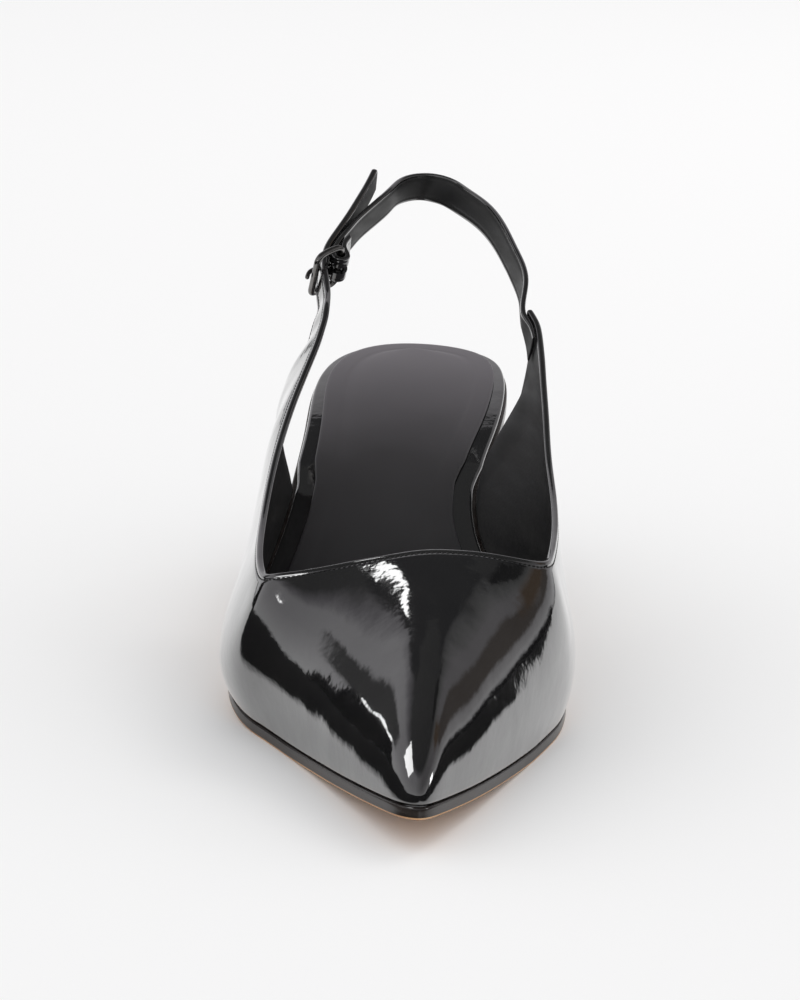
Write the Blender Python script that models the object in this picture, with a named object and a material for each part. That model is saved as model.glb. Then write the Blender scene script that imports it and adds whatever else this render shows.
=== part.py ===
"""Slingback pump, the right shoe: pointed toe, low covered heel, sling strap with a buckle.

Metres, +Z up, toe towards -Y, +X towards the wearer's inner (medial) side. The origin lies on the
floor under the middle of the heel's top piece. Along the shoe, places are measured from the back
of the heel seat to the toe, and "along" in a table is that distance as a share of LENGTH.
Sideways places are shares of BALL_WIDTH from the last's straight line, the medial side positive.
"""

import math

import bpy
import numpy as np

# Driving sizes, in metres
LENGTH = 0.261
BALL_WIDTH = 0.081
SEAT_WIDTH = 0.054
SEAT_HEIGHT = 0.0535
TOE_SPRING = 0.0073
SOLE_THICK = 0.0029
INSOLE_THICK = 0.0018
SOCK_THICK = 0.0009
SOCK_MARGIN = 0.0052
RIM_MARGIN = 0.0007
WALL = 0.0016
VAMP_RISE = 0.045
STRAP_RISE = 0.0505
GAP = 0.0003
LAYER_GAP = 0.0004

# Sling strap and billet
STRAP_WIDTH = 0.0080
STRAP_THICK = 0.0014
FOLD_LENGTH = 0.0095
STRAP_DROP = 0.0005
SLOT_REACH = 0.0037
SEAM_EDGE = 0.0004
SKIVE = 0.45
SEAM_OVERLAP = 0.011
SEAM_SHARES = (1.0, 0.55, 0.1)
SEAM_COLUMN_STEP = 0.0046
# Where the fold's rows lie: shares of FOLD_LENGTH behind the bar, degrees round the bar, and
# for its sewn tail the share of FOLD_LENGTH with the number of layers down
FOLD_LEAD = (2.0, 1.5, 1.0, 0.5)
FOLD_DEGREES = (90, 120, 150, 180, 210, 240, 270)
TAIL_LAYERS = ((0.40, 1.45), (0.70, 1.03), (1.00, 1.00))

# Buckle
BUCKLE_LENGTH = 0.0112
BUCKLE_WIDTH = 0.0142
BUCKLE_BAR = 0.0018
BUCKLE_CORNER = 0.0018
BUCKLE_MIDDLE = 0.187
PRONG_THICK = 0.0012
PRONG_HOLE = (0.05, 0.54)
# The prong's line round its bar, as shares of the radius of its turn: ahead, outward
PRONG_TURN = ((0.35, -0.94), (0.85, -0.55), (1.00, 0.00), (0.72, 0.72), (0.00, 1.02))
# and on to the front bar, as shares of the way between the bars: back, outward
PRONG_RISE = ((0.16, 0.36), (0.32, 0.58), (0.52, 0.82), (0.78, 0.98), (1.00, 1.00))
PRONG_PAST_BAR = 0.0014
PRONG_TIP_DIP = 0.985

# Heel and its top piece
TOP_PIECE_LENGTH = 0.0170
TOP_PIECE_WIDTH = 0.0175
TOP_PIECE_THICK = 0.0050
TOP_PIECE_MIDDLE = 0.0265
TOP_PIECE_INSET = 0.0002
TIP_SQUARENESS = 2.6
TIP_TURN = math.radians(140.0)
HEEL_BREAST = 0.0520
HEEL_INSET = 0.0012
HEEL_CURVE = 2.3

# The flat tread at the ball, from the back of the seat
TREAD_BACK = 0.181
TREAD_FRONT = 0.196
SPRING_POWER = 1.4

# Between these shares of the length the plan's width goes over from the seat's to the ball's
WIDTH_FROM = 0.15
WIDTH_TO = 0.60

# Side view of the sole's underside behind the tread
SEAT_PROFILE = {
    "share of TREAD_BACK": (0.000, 0.144, 0.287, 0.436, 0.580, 0.724, 0.840, 0.928, 1.000),
    "share of SEAT_HEIGHT": (1.000, 0.934, 0.821, 0.661, 0.463, 0.266, 0.124, 0.034, 0.000),
}

# Plan of the sole. Each row: along, lateral side, medial side, as shares of the width there
SOLE_PLAN = (
    (0.000, -0.033, 0.033),
    (0.040, 0.330, 0.437),
    (0.090, 0.433, 0.504),
    (0.150, 0.481, 0.498),
    (0.220, 0.487, 0.434),
    (0.300, 0.479, 0.328),
    (0.380, 0.471, 0.283),
    (0.460, 0.485, 0.325),
    (0.540, 0.509, 0.420),
    (0.600, 0.523, 0.472),
    (0.650, 0.494, 0.470),
    (0.700, 0.420, 0.428),
    (0.760, 0.326, 0.360),
    (0.830, 0.232, 0.278),
    (0.900, 0.143, 0.194),
    (0.960, 0.064, 0.113),
    (0.985, 0.026, 0.076),
    (1.000, -0.030, 0.030),
)

# Sections of the upper, each a curve from the lower edge to the upper edge.
# low along: place of the lower edge; low out: how far it stands outside the sole's plan;
# low rise: its height over the sole's top, as a share of the collar height there;
# up along, up side, up rise: the upper edge; lean: degrees outward at the lower edge;
# tilt, head: degrees above level and degrees turned inward of the surface at the upper edge;
# low pull, up pull: how far the two ends hold their direction, as shares of the chord.
TOE_SECTION = (1.000, 0.000, 0.000, 0.724, 0.068, 1.004, 8, 17, 0, 0.17, 0.52)
LATERAL_SECTIONS = (
    (0.975, 0.000, 0.000, 0.724, 0.006, 0.993, 9, 18, 0, 0.19, 0.51),
    (0.930, 0.000, 0.000, 0.724, -0.062, 0.970, 11, 21, 3, 0.22, 0.48),
    (0.870, 0.000, 0.000, 0.724, -0.145, 0.940, 14, 26, 8, 0.27, 0.44),
    (0.800, 0.000, 0.000, 0.723, -0.228, 0.905, 18, 33, 17, 0.31, 0.40),
    (0.735, 0.000, 0.000, 0.721, -0.310, 0.872, 22, 42, 33, 0.33, 0.37),
    (0.690, 0.000, 0.000, 0.716, -0.379, 0.845, 31, 54, 54, 0.33, 0.34),
    (0.655, 0.000, 0.000, 0.697, -0.417, 0.824, 35, 65, 73, 0.33, 0.33),
    (0.615, 0.000, 0.000, 0.655, -0.435, 0.836, 35, 75, 85, 0.32, 0.28),
    (0.560, 0.000, 0.000, 0.595, -0.434, 0.806, 27, 78, 90, 0.32, 0.28),
    (0.500, 0.000, 0.000, 0.530, -0.421, 0.779, 19, 70, 90, 0.32, 0.33),
    (0.440, 0.000, 0.000, 0.470, -0.399, 0.768, 19, 60, 90, 0.34, 0.37),
    (0.385, 0.000, 0.000, 0.415, -0.367, 0.773, 22, 50, 90, 0.35, 0.40),
    (0.337, 0.000, 0.000, 0.372, -0.334, 0.788, 23, 49, 90, 0.35, 0.40),
    (0.306, 0.048, 0.142, 0.340, -0.308, 0.803, 15, 54, 90, 0.34, 0.38),
    (0.289, 0.052, 0.285, 0.318, -0.292, 0.814, 7, 59, 90, 0.34, 0.36),
    (0.277, 0.030, 0.425, 0.300, -0.282, 0.825, 0, 65, 90, 0.34, 0.35),
    (0.267, -0.013, 0.550, 0.284, -0.275, 0.836, -6, 71, 90, 0.34, 0.34),
    (0.250, -0.029, 0.640, 0.267, -0.272, 0.850, -10, 75, 90, 0.34, 0.34),
)
MEDIAL_SECTIONS = (
    (0.975, 0.000, 0.000, 0.724, 0.130, 1.004, 8, 18, 0, 0.19, 0.51),
    (0.930, 0.000, 0.000, 0.724, 0.196, 0.998, 10, 22, 4, 0.22, 0.48),
    (0.870, 0.000, 0.000, 0.7235, 0.262, 0.982, 13, 30, 11, 0.27, 0.44),
    (0.800, 0.000, 0.000, 0.721, 0.322, 0.960, 16, 41, 26, 0.31, 0.40),
    (0.735, 0.000, 0.000, 0.714, 0.370, 0.938, 18, 54, 46, 0.33, 0.37),
    (0.690, 0.000, 0.000, 0.699, 0.400, 0.922, 19, 65, 66, 0.33, 0.36),
    (0.655, 0.000, 0.000, 0.677, 0.414, 0.914, 21, 74, 80, 0.33, 0.34),
    (0.615, 0.000, 0.000, 0.644, 0.427, 0.892, 22, 80, 88, 0.33, 0.33),
    (0.560, 0.000, 0.000, 0.595, 0.439, 0.846, 22, 84, 90, 0.34, 0.33),
    (0.500, 0.000, 0.000, 0.535, 0.440, 0.797, 24, 86, 90, 0.35, 0.34),
    (0.440, 0.000, 0.000, 0.475, 0.434, 0.769, 30, 89, 90, 0.35, 0.34),
    (0.385, 0.000, 0.000, 0.420, 0.432, 0.777, 34, 91, 90, 0.35, 0.34),
    (0.337, 0.000, 0.000, 0.376, 0.429, 0.789, 33, 93, 90, 0.34, 0.34),
    (0.306, 0.034, 0.142, 0.343, 0.427, 0.802, 24, 94, 90, 0.34, 0.34),
    (0.289, 0.100, 0.285, 0.320, 0.424, 0.813, 15, 94, 90, 0.34, 0.34),
    (0.277, 0.127, 0.425, 0.302, 0.420, 0.824, 9, 93, 90, 0.34, 0.34),
    (0.268, 0.136, 0.550, 0.286, 0.411, 0.834, 5, 92, 90, 0.34, 0.34),
    (0.252, 0.124, 0.640, 0.269, 0.390, 0.846, 2, 91, 90, 0.34, 0.34),
)

# Middle line of the billet, from the lateral quarter through the buckle to its free tip.
# Each row: along, side, rise of its middle, inward lean in degrees
BILLET_PATH = (
    (0.234, -0.286, 0.756, 14),
    (0.212, -0.293, 0.780, 13),
    (0.190, -0.296, 0.805, 12),
    (0.168, -0.285, 0.833, 12),
    (0.143, -0.251, 0.866, 12),
    (0.118, -0.216, 0.902, 12),
    (0.093, -0.185, 0.942, 12),
    (0.068, -0.156, 0.984, 12),
    (0.045, -0.132, 1.030, 12),
)

# Middle line of the sling strap between the medial seam and the buckle, round the heel.
# Each row: along, side, rise of its middle, inward lean in degrees
STRAP_PATH = (
    (0.2250, 0.367, 0.812, 6),
    (0.1750, 0.337, 0.845, 9),
    (0.1250, 0.296, 0.870, 11),
    (0.0780, 0.242, 0.891, 13),
    (0.0350, 0.171, 0.903, 14),
    (0.0077, 0.106, 0.914, 14),
    (0.0023, 0.040, 0.921, 15),
    (0.0123, -0.021, 0.919, 15),
    (0.0450, -0.071, 0.909, 13),
)

# How finely the forms are cut
SOLE_STATIONS = 44
UPPER_COLUMNS = 120
UPPER_ROWS = 11
STRAP_STATIONS = 60
FOLD_STATIONS = 26
PRONG_STATIONS = 20
HEEL_STATIONS = 14
HEEL_LEVELS = 10
FINE_STEPS = 2001
COLUMN_LINE = 0.2
END_TURN = 0.012
SOLE_BEVEL = 0.0005
SOCK_BEVEL = 0.0002
NARROW_SHARE = 0.2
SHARP_DEGREES = 40.0

# Where the insole and the sock stop under the vamp, and where the quarters leave the sole
INSOLE_END = 0.975
SOCK_END = 0.86
SOCK_WIDEN_FROM = 0.10
SOCK_WIDEN_TO = 0.38
SOCK_BACK_MARGIN = 0.55
QUARTER_END = 0.290
QUARTER_FADE = 0.035

# Plain colours
PATENT_BLACK = (0.012, 0.012, 0.013)
SOCK_GREY = (0.030, 0.030, 0.032)
SOLE_BROWN = (0.060, 0.045, 0.040)
TIP_BLACK = (0.020, 0.020, 0.020)
METAL_DARK = (0.020, 0.020, 0.022)


# Curves through rows of numbers

def spline(places, values, start_slope=None, end_slope=None):
    """The natural cubic spline through rows of values; an end slope may be given instead."""
    places = np.asarray(places, float)
    values = np.asarray(values, float)
    if values.ndim == 1:
        values = values[:, None]
    count = len(places)
    step = np.diff(places)[:, None]
    rise = np.diff(values, axis=0) / step
    system = np.eye(count)
    right = np.zeros_like(values)
    for i in range(1, count - 1):
        system[i, i - 1:i + 2] = (step[i - 1, 0], 2.0 * (step[i - 1, 0] + step[i, 0]), step[i, 0])
        right[i] = 6.0 * (rise[i] - rise[i - 1])
    if start_slope is not None:
        system[0, :2] = (2.0 * step[0, 0], step[0, 0])
        right[0] = 6.0 * (rise[0] - start_slope)
    if end_slope is not None:
        system[-1, -2:] = (step[-1, 0], 2.0 * step[-1, 0])
        right[-1] = 6.0 * (end_slope - rise[-1])
    bend = np.linalg.solve(system, right)

    def curve(at):
        at = np.atleast_1d(np.asarray(at, float))
        i = np.clip(np.searchsorted(places, at, side="right") - 1, 0, count - 2)
        h = step[i]
        back = (places[i + 1] - at)[:, None] / h
        ahead = (at - places[i])[:, None] / h
        lift = (back ** 3 - back) * bend[i] + (ahead ** 3 - ahead) * bend[i + 1]
        return back * values[i] + ahead * values[i + 1] + lift * h ** 2 / 6.0

    return curve


def ring_spline(places, values, period):
    """The closed cubic spline through rows of values round a loop of the given period."""
    wraps = 3
    long_places = np.concatenate([places - period, places, places + period])
    long_values = np.concatenate([values] * wraps)
    return spline(long_places, long_values)


def unit(vectors):
    """Vectors brought to length one, row by row."""
    vectors = np.asarray(vectors, float)
    return vectors / np.linalg.norm(vectors, axis=-1, keepdims=True)


# The last: side view, plan and collar height

underside_curve = spline(np.array(SEAT_PROFILE["share of TREAD_BACK"]) * TREAD_BACK,
                         np.array(SEAT_PROFILE["share of SEAT_HEIGHT"]) * SEAT_HEIGHT, end_slope=0.0)


def underside(distance):
    """Height of the outsole's underside at distances from the back of the seat."""
    distance = np.atleast_1d(np.asarray(distance, float))
    behind = underside_curve(np.minimum(distance, TREAD_BACK))[:, 0]
    ahead = np.clip((distance - TREAD_FRONT) / (LENGTH - TREAD_FRONT), 0.0, None) ** SPRING_POWER
    return np.where(distance < TREAD_BACK, behind, TOE_SPRING * ahead)


def feather(distance):
    """Height of the outsole's top, on which upper and insole stand."""
    return underside(distance) + SOLE_THICK


def width_at(along):
    """Width that the plan's shares follow: the seat's at the back, the ball's from the ball on."""
    share = np.clip((WIDTH_TO - np.asarray(along, float)) / (WIDTH_TO - WIDTH_FROM), 0.0, 1.0)
    seat = share ** 2 * (3.0 - 2.0 * share)
    return SEAT_WIDTH * seat + BALL_WIDTH * (1.0 - seat)


def turn_of(along):
    """Turn round the plan, 0 at the toe tip and pi at the heel, for a share of the length."""
    return math.pi - np.arccos(np.clip(1.0 - 2.0 * np.asarray(along, float), -1.0, 1.0))


plan_rows = np.array(SOLE_PLAN)
plan_widths = width_at(plan_rows[:, 0])
plan_turns = turn_of(plan_rows[:, 0])
ring_turns = np.concatenate([-plan_turns[:-1], plan_turns[:0:-1]])
ring_sides = np.concatenate([-plan_rows[:-1, 1] * plan_widths[:-1],
                             (plan_rows[:, 2] * plan_widths)[:0:-1]])
plan_curve = ring_spline(ring_turns, ring_sides, 2.0 * math.pi)


def plan_point(turn):
    """Plan point (side, distance) of the sole's edge: lateral turns negative, medial positive."""
    turn = np.atleast_1d(np.asarray(turn, float))
    return np.column_stack([plan_curve(turn)[:, 0], 0.5 * LENGTH * (1.0 + np.cos(turn))])


def plan_outward(turn):
    """Outward direction in plan at a turn."""
    small = 1e-4
    along_edge = plan_point(np.asarray(turn) + small) - plan_point(np.asarray(turn) - small)
    return unit(np.column_stack([along_edge[:, 1], -along_edge[:, 0]])) * -1.0


def inset_point(turn, inset):
    """Plan point moved inward from the sole's edge."""
    return plan_point(turn) - plan_outward(turn) * np.reshape(inset, (-1, 1))


def collar(distance):
    """Height of the collar over the sole's top, from the throat back to the strap."""
    throat = TOE_SECTION[3] * LENGTH
    return VAMP_RISE + (STRAP_RISE - VAMP_RISE) * (1.0 - np.asarray(distance, float) / throat)


ORIGIN_SIDE = float(np.mean(plan_point([-turn_of(TOP_PIECE_MIDDLE / LENGTH),
                                        turn_of(TOP_PIECE_MIDDLE / LENGTH)])[:, 0]))


def place(points):
    """From (side, distance, height) to the part's own frame."""
    points = np.asarray(points, float)
    return np.stack([points[..., 0] - ORIGIN_SIDE, TOP_PIECE_MIDDLE - points[..., 1], points[..., 2]], -1)


# The upper's surface

INNER_SIDE = np.array((1.0, 0.0, 0.0))
STRAIGHT_PULL = 1.0 / 3.0


def path_middles(path):
    """Middle points of a strap's path, from its rows of along, side, rise and lean."""
    along, side, rise = np.array(path).T[:3]
    distance = along * LENGTH
    return np.column_stack([side * BALL_WIDTH, distance, feather(distance) + rise * collar(distance)])


def leaning_up(ways, leans):
    """Upward directions across a strap that runs along the ways, leaning inward by the leans."""
    level = unit(np.cross(ways, (0.0, 0.0, 1.0)))
    inward = level * np.sign(INNER_SIDE @ level.T)[:, None]
    upward = np.cross(ways, inward)
    upward = unit(upward * np.sign(upward[:, 2:3]))
    leans = np.radians(leans)[:, None]
    return upward * np.cos(leans) + inward * np.sin(leans)


def billet_rows():
    """Section rows of the billet, in metres, from its middle line."""
    middles = path_middles(BILLET_PATH)
    upward = leaning_up(unit(np.gradient(middles, axis=0)), [row[3] for row in BILLET_PATH])
    half = 0.5 * STRAP_WIDTH * upward
    pulls = np.full((len(middles), 2), STRAIGHT_PULL)
    return list(np.column_stack([middles - half, middles + half, upward, upward, pulls]))


def section_row(row, side):
    """One section as metres and directions: lower point, upper point, two directions, two pulls."""
    (low_along, low_out, low_rise, up_along, up_side, up_rise,
     lean, tilt, head, low_pull, up_pull) = row
    turn = side * turn_of(low_along)
    edge = plan_point(turn)[0]
    outward = plan_outward(turn)[0]
    low_distance = low_along * LENGTH
    low = np.array([edge[0] + side * low_out * BALL_WIDTH, low_distance,
                    feather(low_distance)[0] + GAP + low_rise * collar(low_distance)])
    up_distance = up_along * LENGTH
    high = np.array([up_side * BALL_WIDTH, up_distance,
                     feather(up_distance)[0] + up_rise * collar(up_distance)])
    lean, tilt, head = (math.radians(angle) for angle in (lean, tilt, head))
    low_way = np.array([outward[0] * math.sin(lean), outward[1] * math.sin(lean), math.cos(lean)])
    high_way = np.array([-side * math.cos(tilt) * math.sin(head),
                         -math.cos(tilt) * math.cos(head), math.sin(tilt)])
    return np.concatenate([low, high, low_way, high_way, (low_pull, up_pull)])


def upper_sections():
    """All sections, from the billet's tip round the toe to the medial seam."""
    lateral = [section_row(row, -1.0) for row in LATERAL_SECTIONS]
    medial = [section_row(row, 1.0) for row in MEDIAL_SECTIONS]
    return np.array(billet_rows()[::-1] + lateral[::-1] + [section_row(TOE_SECTION, 1.0)] + medial)


SECTIONS = upper_sections()
TOE_INDEX = len(BILLET_PATH) + len(LATERAL_SECTIONS)
section_curve = spline(np.arange(len(SECTIONS)), SECTIONS)
toe_turns = np.concatenate([-turn_of([row[0] for row in LATERAL_SECTIONS][::-1]), [0.0],
                            turn_of([row[0] for row in MEDIAL_SECTIONS])])
toe_turn_curve = spline(np.arange(len(toe_turns)) + len(BILLET_PATH), toe_turns)


def lasted_share(column):
    """1 where the lower edge lies on the sole, 0 behind the last lasted sections."""
    lasted = sum(1 for row in LATERAL_SECTIONS if row[2] == 0.0)
    reach = np.abs(np.asarray(column, float) - TOE_INDEX)
    return (reach <= lasted).astype(float)


def upper_point(column, share):
    """Outer surface of the upper at a column place and a share of the way up its section."""
    column = np.atleast_1d(np.asarray(column, float))
    share = np.atleast_1d(np.asarray(share, float))[:, None]
    row = section_curve(column)
    low, high = row[:, 0:3].copy(), row[:, 3:6]
    on_sole = plan_point(toe_turn_curve(column)[:, 0])
    lasted = lasted_share(column)[:, None]
    on_feather = np.column_stack([on_sole, feather(on_sole[:, 1]) + GAP])
    low = low * (1.0 - lasted) + on_feather * lasted
    low_way, high_way = unit(row[:, 6:9]), unit(row[:, 9:12])
    chord = np.linalg.norm(high - low, axis=1, keepdims=True)
    first = low + low_way * row[:, 12:13] * chord
    second = high - high_way * row[:, 13:14] * chord
    rest = 1.0 - share
    return (rest ** 3 * low + 3.0 * rest ** 2 * share * first
            + 3.0 * rest * share ** 2 * second + share ** 3 * high)


def upper_grid(columns, shares):
    """Points and outward normals of the outer surface on a grid of columns and shares."""
    column_grid, share_grid = np.meshgrid(columns, shares, indexing="ij")
    flat_columns, flat_shares = column_grid.ravel(), share_grid.ravel()
    small = 1e-3
    outer = upper_point(flat_columns, flat_shares)
    across = (upper_point(flat_columns + small, flat_shares)
              - upper_point(flat_columns - small, flat_shares))
    upward = (upper_point(flat_columns, np.minimum(flat_shares + small, 1.0))
              - upper_point(flat_columns, np.maximum(flat_shares - small, 0.0)))
    normal = unit(np.cross(upward, across))
    shape = column_grid.shape + (3,)
    return outer.reshape(shape), normal.reshape(shape)


def even_columns(count):
    """Column places with even steps along a line low on the surface."""
    fine = np.linspace(0.0, len(SECTIONS) - 1.0, FINE_STEPS)
    line = upper_point(fine, np.full(fine.shape, COLUMN_LINE))
    run = along_line(line)
    return np.interp(np.linspace(0.0, run[-1], count), run, fine)


# Building meshes

def volume_of(vertices, faces):
    """Signed volume inside the faces, positive when they point outward."""
    total = 0.0
    for face in faces:
        for k in range(1, len(face) - 1):
            a, b, c = (vertices[face[m]] for m in (0, k, k + 1))
            total += np.dot(a, np.cross(b, c)) / 6.0
    return total


def add_object(name, vertices, faces, color, roughness, metallic=0.0):
    """A smooth-shaded object from vertices in the part's frame, its faces turned outward."""
    if volume_of(vertices, faces) < 0.0:
        faces = [tuple(reversed(face)) for face in faces]
    mesh = bpy.data.meshes.new(name)
    mesh.from_pydata([tuple(float(c) for c in v) for v in vertices], [], [tuple(f) for f in faces])
    mesh.update()
    mesh.shade_smooth()
    mesh.set_sharp_from_angle(angle=math.radians(SHARP_DEGREES))
    material = bpy.data.materials.new(name)
    material.use_nodes = True
    surface = material.node_tree.nodes["Principled BSDF"]
    surface.inputs["Base Color"].default_value = (*color, 1.0)
    surface.inputs["Roughness"].default_value = roughness
    surface.inputs["Metallic"].default_value = metallic
    mesh.materials.append(material)
    thing = bpy.data.objects.new(name, mesh)
    bpy.context.collection.objects.link(thing)
    return thing


def grid_shell(outer, inner, hole=None):
    """Vertices and faces of a closed shell between two grids, with an optional hole in it."""
    columns, rows = outer.shape[:2]
    vertices = np.concatenate([outer.reshape(-1, 3), inner.reshape(-1, 3)])
    half = columns * rows

    def at(skin, i, j):
        return skin * half + i * rows + j

    def cut(i, j):
        return hole is not None and hole[0] <= i < hole[1] and hole[2] <= j < hole[3]

    faces = []
    for i in range(columns - 1):
        for j in range(rows - 1):
            if cut(i, j):
                continue
            faces.append((at(0, i, j), at(0, i + 1, j), at(0, i + 1, j + 1), at(0, i, j + 1)))
            faces.append((at(1, i, j), at(1, i, j + 1), at(1, i + 1, j + 1), at(1, i + 1, j)))
    for i in range(columns - 1):
        faces.append((at(0, i, 0), at(1, i, 0), at(1, i + 1, 0), at(0, i + 1, 0)))
        faces.append((at(0, i, rows - 1), at(0, i + 1, rows - 1), at(1, i + 1, rows - 1), at(1, i, rows - 1)))
    for j in range(rows - 1):
        faces.append((at(0, 0, j), at(0, 0, j + 1), at(1, 0, j + 1), at(1, 0, j)))
        last = columns - 1
        faces.append((at(0, last, j), at(1, last, j), at(1, last, j + 1), at(0, last, j + 1)))
    if hole is not None:
        first_i, last_i, first_j, last_j = hole
        for i in range(first_i, last_i):
            faces.append((at(0, i, first_j), at(0, i + 1, first_j), at(1, i + 1, first_j), at(1, i, first_j)))
            faces.append((at(0, i, last_j), at(1, i, last_j), at(1, i + 1, last_j), at(0, i + 1, last_j)))
        for j in range(first_j, last_j):
            faces.append((at(0, first_i, j), at(1, first_i, j), at(1, first_i, j + 1), at(0, first_i, j + 1)))
            faces.append((at(0, last_i, j), at(0, last_i, j + 1), at(1, last_i, j + 1), at(1, last_i, j)))
    return vertices, faces


def ring_tube(rings, capped=True):
    """Vertices and faces of rings of points joined in a row, the two ends filled."""
    rings = np.asarray(rings)
    count, size = rings.shape[:2]
    vertices = rings.reshape(-1, 3)
    faces = []
    for i in range(count - 1):
        for j in range(size):
            k = (j + 1) % size
            faces.append((i * size + j, i * size + k, (i + 1) * size + k, (i + 1) * size + j))
    if capped:
        faces.append(tuple(range(size - 1, -1, -1)))
        faces.append(tuple((count - 1) * size + j for j in range(size)))
    return vertices, faces


def closed_loop_tube(rings):
    """Vertices and faces of rings of points joined in a closed loop."""
    rings = np.asarray(rings)
    count, size = rings.shape[:2]
    faces = []
    for i in range(count):
        n = (i + 1) % count
        for j in range(size):
            k = (j + 1) % size
            faces.append((i * size + j, i * size + k, n * size + k, n * size + j))
    return rings.reshape(-1, 3), faces


def slab(stations, inset, bottom, top, bevel):
    """A sheet on the sole's plan: its edge moved in by inset, between two height functions."""
    turns = turn_of(stations)
    insets = np.broadcast_to(inset, turns.shape)
    rings = []
    for turn, depth in zip(turns, insets):
        lateral = inset_point(-turn, depth)[0]
        medial = inset_point(turn, depth)[0]
        low_l, high_l = bottom(lateral[1])[0], top(lateral[1])[0]
        low_m, high_m = bottom(medial[1])[0], top(medial[1])[0]
        inward = min(bevel, NARROW_SHARE * abs(medial[0] - lateral[0]))
        rings.append([
            (lateral[0] + inward, lateral[1], low_l),
            (medial[0] - inward, medial[1], low_m),
            (medial[0], medial[1], low_m + bevel),
            (medial[0], medial[1], high_m),
            (lateral[0], lateral[1], high_l),
            (lateral[0], lateral[1], low_l + bevel),
        ])
    return ring_tube(np.array(rings))


def sole_stations(count):
    """Shares of the length with even turns round the plan, and a station at each tread end."""
    turns = np.linspace(END_TURN, math.pi - END_TURN, count)
    stations = 0.5 * (1.0 + np.cos(turns))[::-1]
    for edge in (TREAD_BACK / LENGTH, TREAD_FRONT / LENGTH):
        stations[np.argmin(np.abs(stations - edge))] = edge
    return stations


# Straps and buckle

def upper_middle(column, drop):
    """Outer point and normal of the upper a given drop below its upper edge."""
    shares = np.linspace(1.0, 0.5, FINE_STEPS)
    line = upper_point(np.full(shares.shape, column), shares)
    share = np.interp(drop, along_line(line), shares)
    points, normals = upper_grid(np.array([column]), np.array([share]))
    return points[0, 0], normals[0, 0]


def along_line(points):
    """Distance run along a row of points."""
    return np.concatenate([[0.0], np.cumsum(np.linalg.norm(np.diff(points, axis=0), axis=1))])


def billet_curve():
    """The billet by distance from the buckle's middle towards its tip: outer side, outward, upward."""
    columns = np.linspace(0.0, len(BILLET_PATH) - 1.0, FINE_STEPS)[::-1]
    grid, normals = upper_grid(columns, np.array([0.0, 0.5, 1.0]))
    run = along_line(grid[:, 1])
    middle = np.interp(-BUCKLE_MIDDLE * LENGTH, -grid[:, 1, 1], run)
    return spline(run - middle, np.column_stack([grid[:, 1], normals[:, 1], grid[:, 2] - grid[:, 0]]))


def bar_reach():
    """Distance along the billet from the buckle's middle to each of its bars."""
    depth = BUCKLE_BAR + 2.0 * LAYER_GAP + GAP + STRAP_THICK + WALL
    return 0.5 * math.sqrt((BUCKLE_LENGTH - BUCKLE_BAR) ** 2 - depth ** 2)


def buckle_axes():
    """Directions towards the billet's tip, up and outward at the rear bar, and both bars' middles."""
    billet, reach = billet_curve(), bar_reach()
    at_front, at_rear = billet([-reach, reach])
    front = at_front[:3] + unit(at_front[3:6]) * (LAYER_GAP + 0.5 * BUCKLE_BAR)
    inside = WALL + LAYER_GAP + STRAP_THICK + GAP + 0.5 * BUCKLE_BAR
    rear = at_rear[:3] - unit(at_rear[3:6]) * inside
    up = unit(unit(at_front[6:9]) + unit(at_rear[6:9]))
    outward = unit(at_rear[3:6] - up * np.dot(at_rear[3:6], up))
    ahead = np.cross(up, outward)
    ahead = ahead * np.sign(np.dot(ahead, rear - front))
    front = front - up * np.dot(front - rear, up)
    return ahead, up, outward, front, rear


def fold_rows():
    """Middles and upward directions of the strap's fold: under the billet, round the bar and back."""
    ahead, up, outward, front, rear = buckle_axes()
    turn_radius = 0.5 * BUCKLE_BAR + GAP + 0.5 * STRAP_THICK
    layer_step = STRAP_THICK + GAP
    billet, reach = billet_curve(), bar_reach()

    def layer(behind, depth):
        row = billet(reach + behind)[0]
        upward = unit(row[6:9])
        drop = STRAP_DROP * (behind / FOLD_LENGTH) ** 2
        inward = unit(row[3:6]) * (WALL + LAYER_GAP + 0.5 * STRAP_THICK + depth)
        return row[:3] - inward - upward * drop, upward

    rows = [layer(share * FOLD_LENGTH, 0.0) for share in FOLD_LEAD]
    for degrees in FOLD_DEGREES:
        turn = math.radians(degrees)
        around = ahead * turn_radius * math.cos(turn) + outward * turn_radius * math.sin(turn)
        rows.append((rear + around, up))
    rows += [layer(share * FOLD_LENGTH, steps * layer_step) for share, steps in TAIL_LAYERS]
    return rows


def strap_thickness(place):
    """The strap's thickness along it: skived thin at its end inside the medial quarter."""
    full = np.clip(np.asarray(place, float) / SEAM_OVERLAP, 0.0, 1.0)
    return STRAP_THICK * (SKIVE + (1.0 - SKIVE) * full)


def seam_rows(across):
    """Middles, upward directions and sag of the strap where it lies inside the medial quarter."""
    middle_drop = 0.5 * STRAP_WIDTH + SEAM_EDGE
    rows = []
    for share in SEAM_SHARES:
        column = len(SECTIONS) - 1.0 - share * SEAM_OVERLAP / SEAM_COLUMN_STEP
        inside = WALL + LAYER_GAP + 0.5 * strap_thickness((1.0 - share) * SEAM_OVERLAP)
        laid = []
        for drop in np.concatenate([[middle_drop], middle_drop - across]):
            point, normal = upper_middle(column, drop)
            laid.append(point - normal * inside)
        laid = np.array(laid)
        upward = unit(laid[1 + np.argmax(across)] - laid[1 + np.argmin(across)])
        rows.append((laid[0], upward, laid[1:] - laid[0] - across[:, None] * upward))
    return rows


def strap_across():
    """Places across the strap, from its lower to its upper edge, with the slot's two sides."""
    half, half_slot = 0.5 * STRAP_WIDTH, 0.5 * PRONG_THICK + LAYER_GAP
    between = 0.5 * (half + half_slot)
    return np.array([-half, -between, -half_slot, half_slot, between, half])


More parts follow.
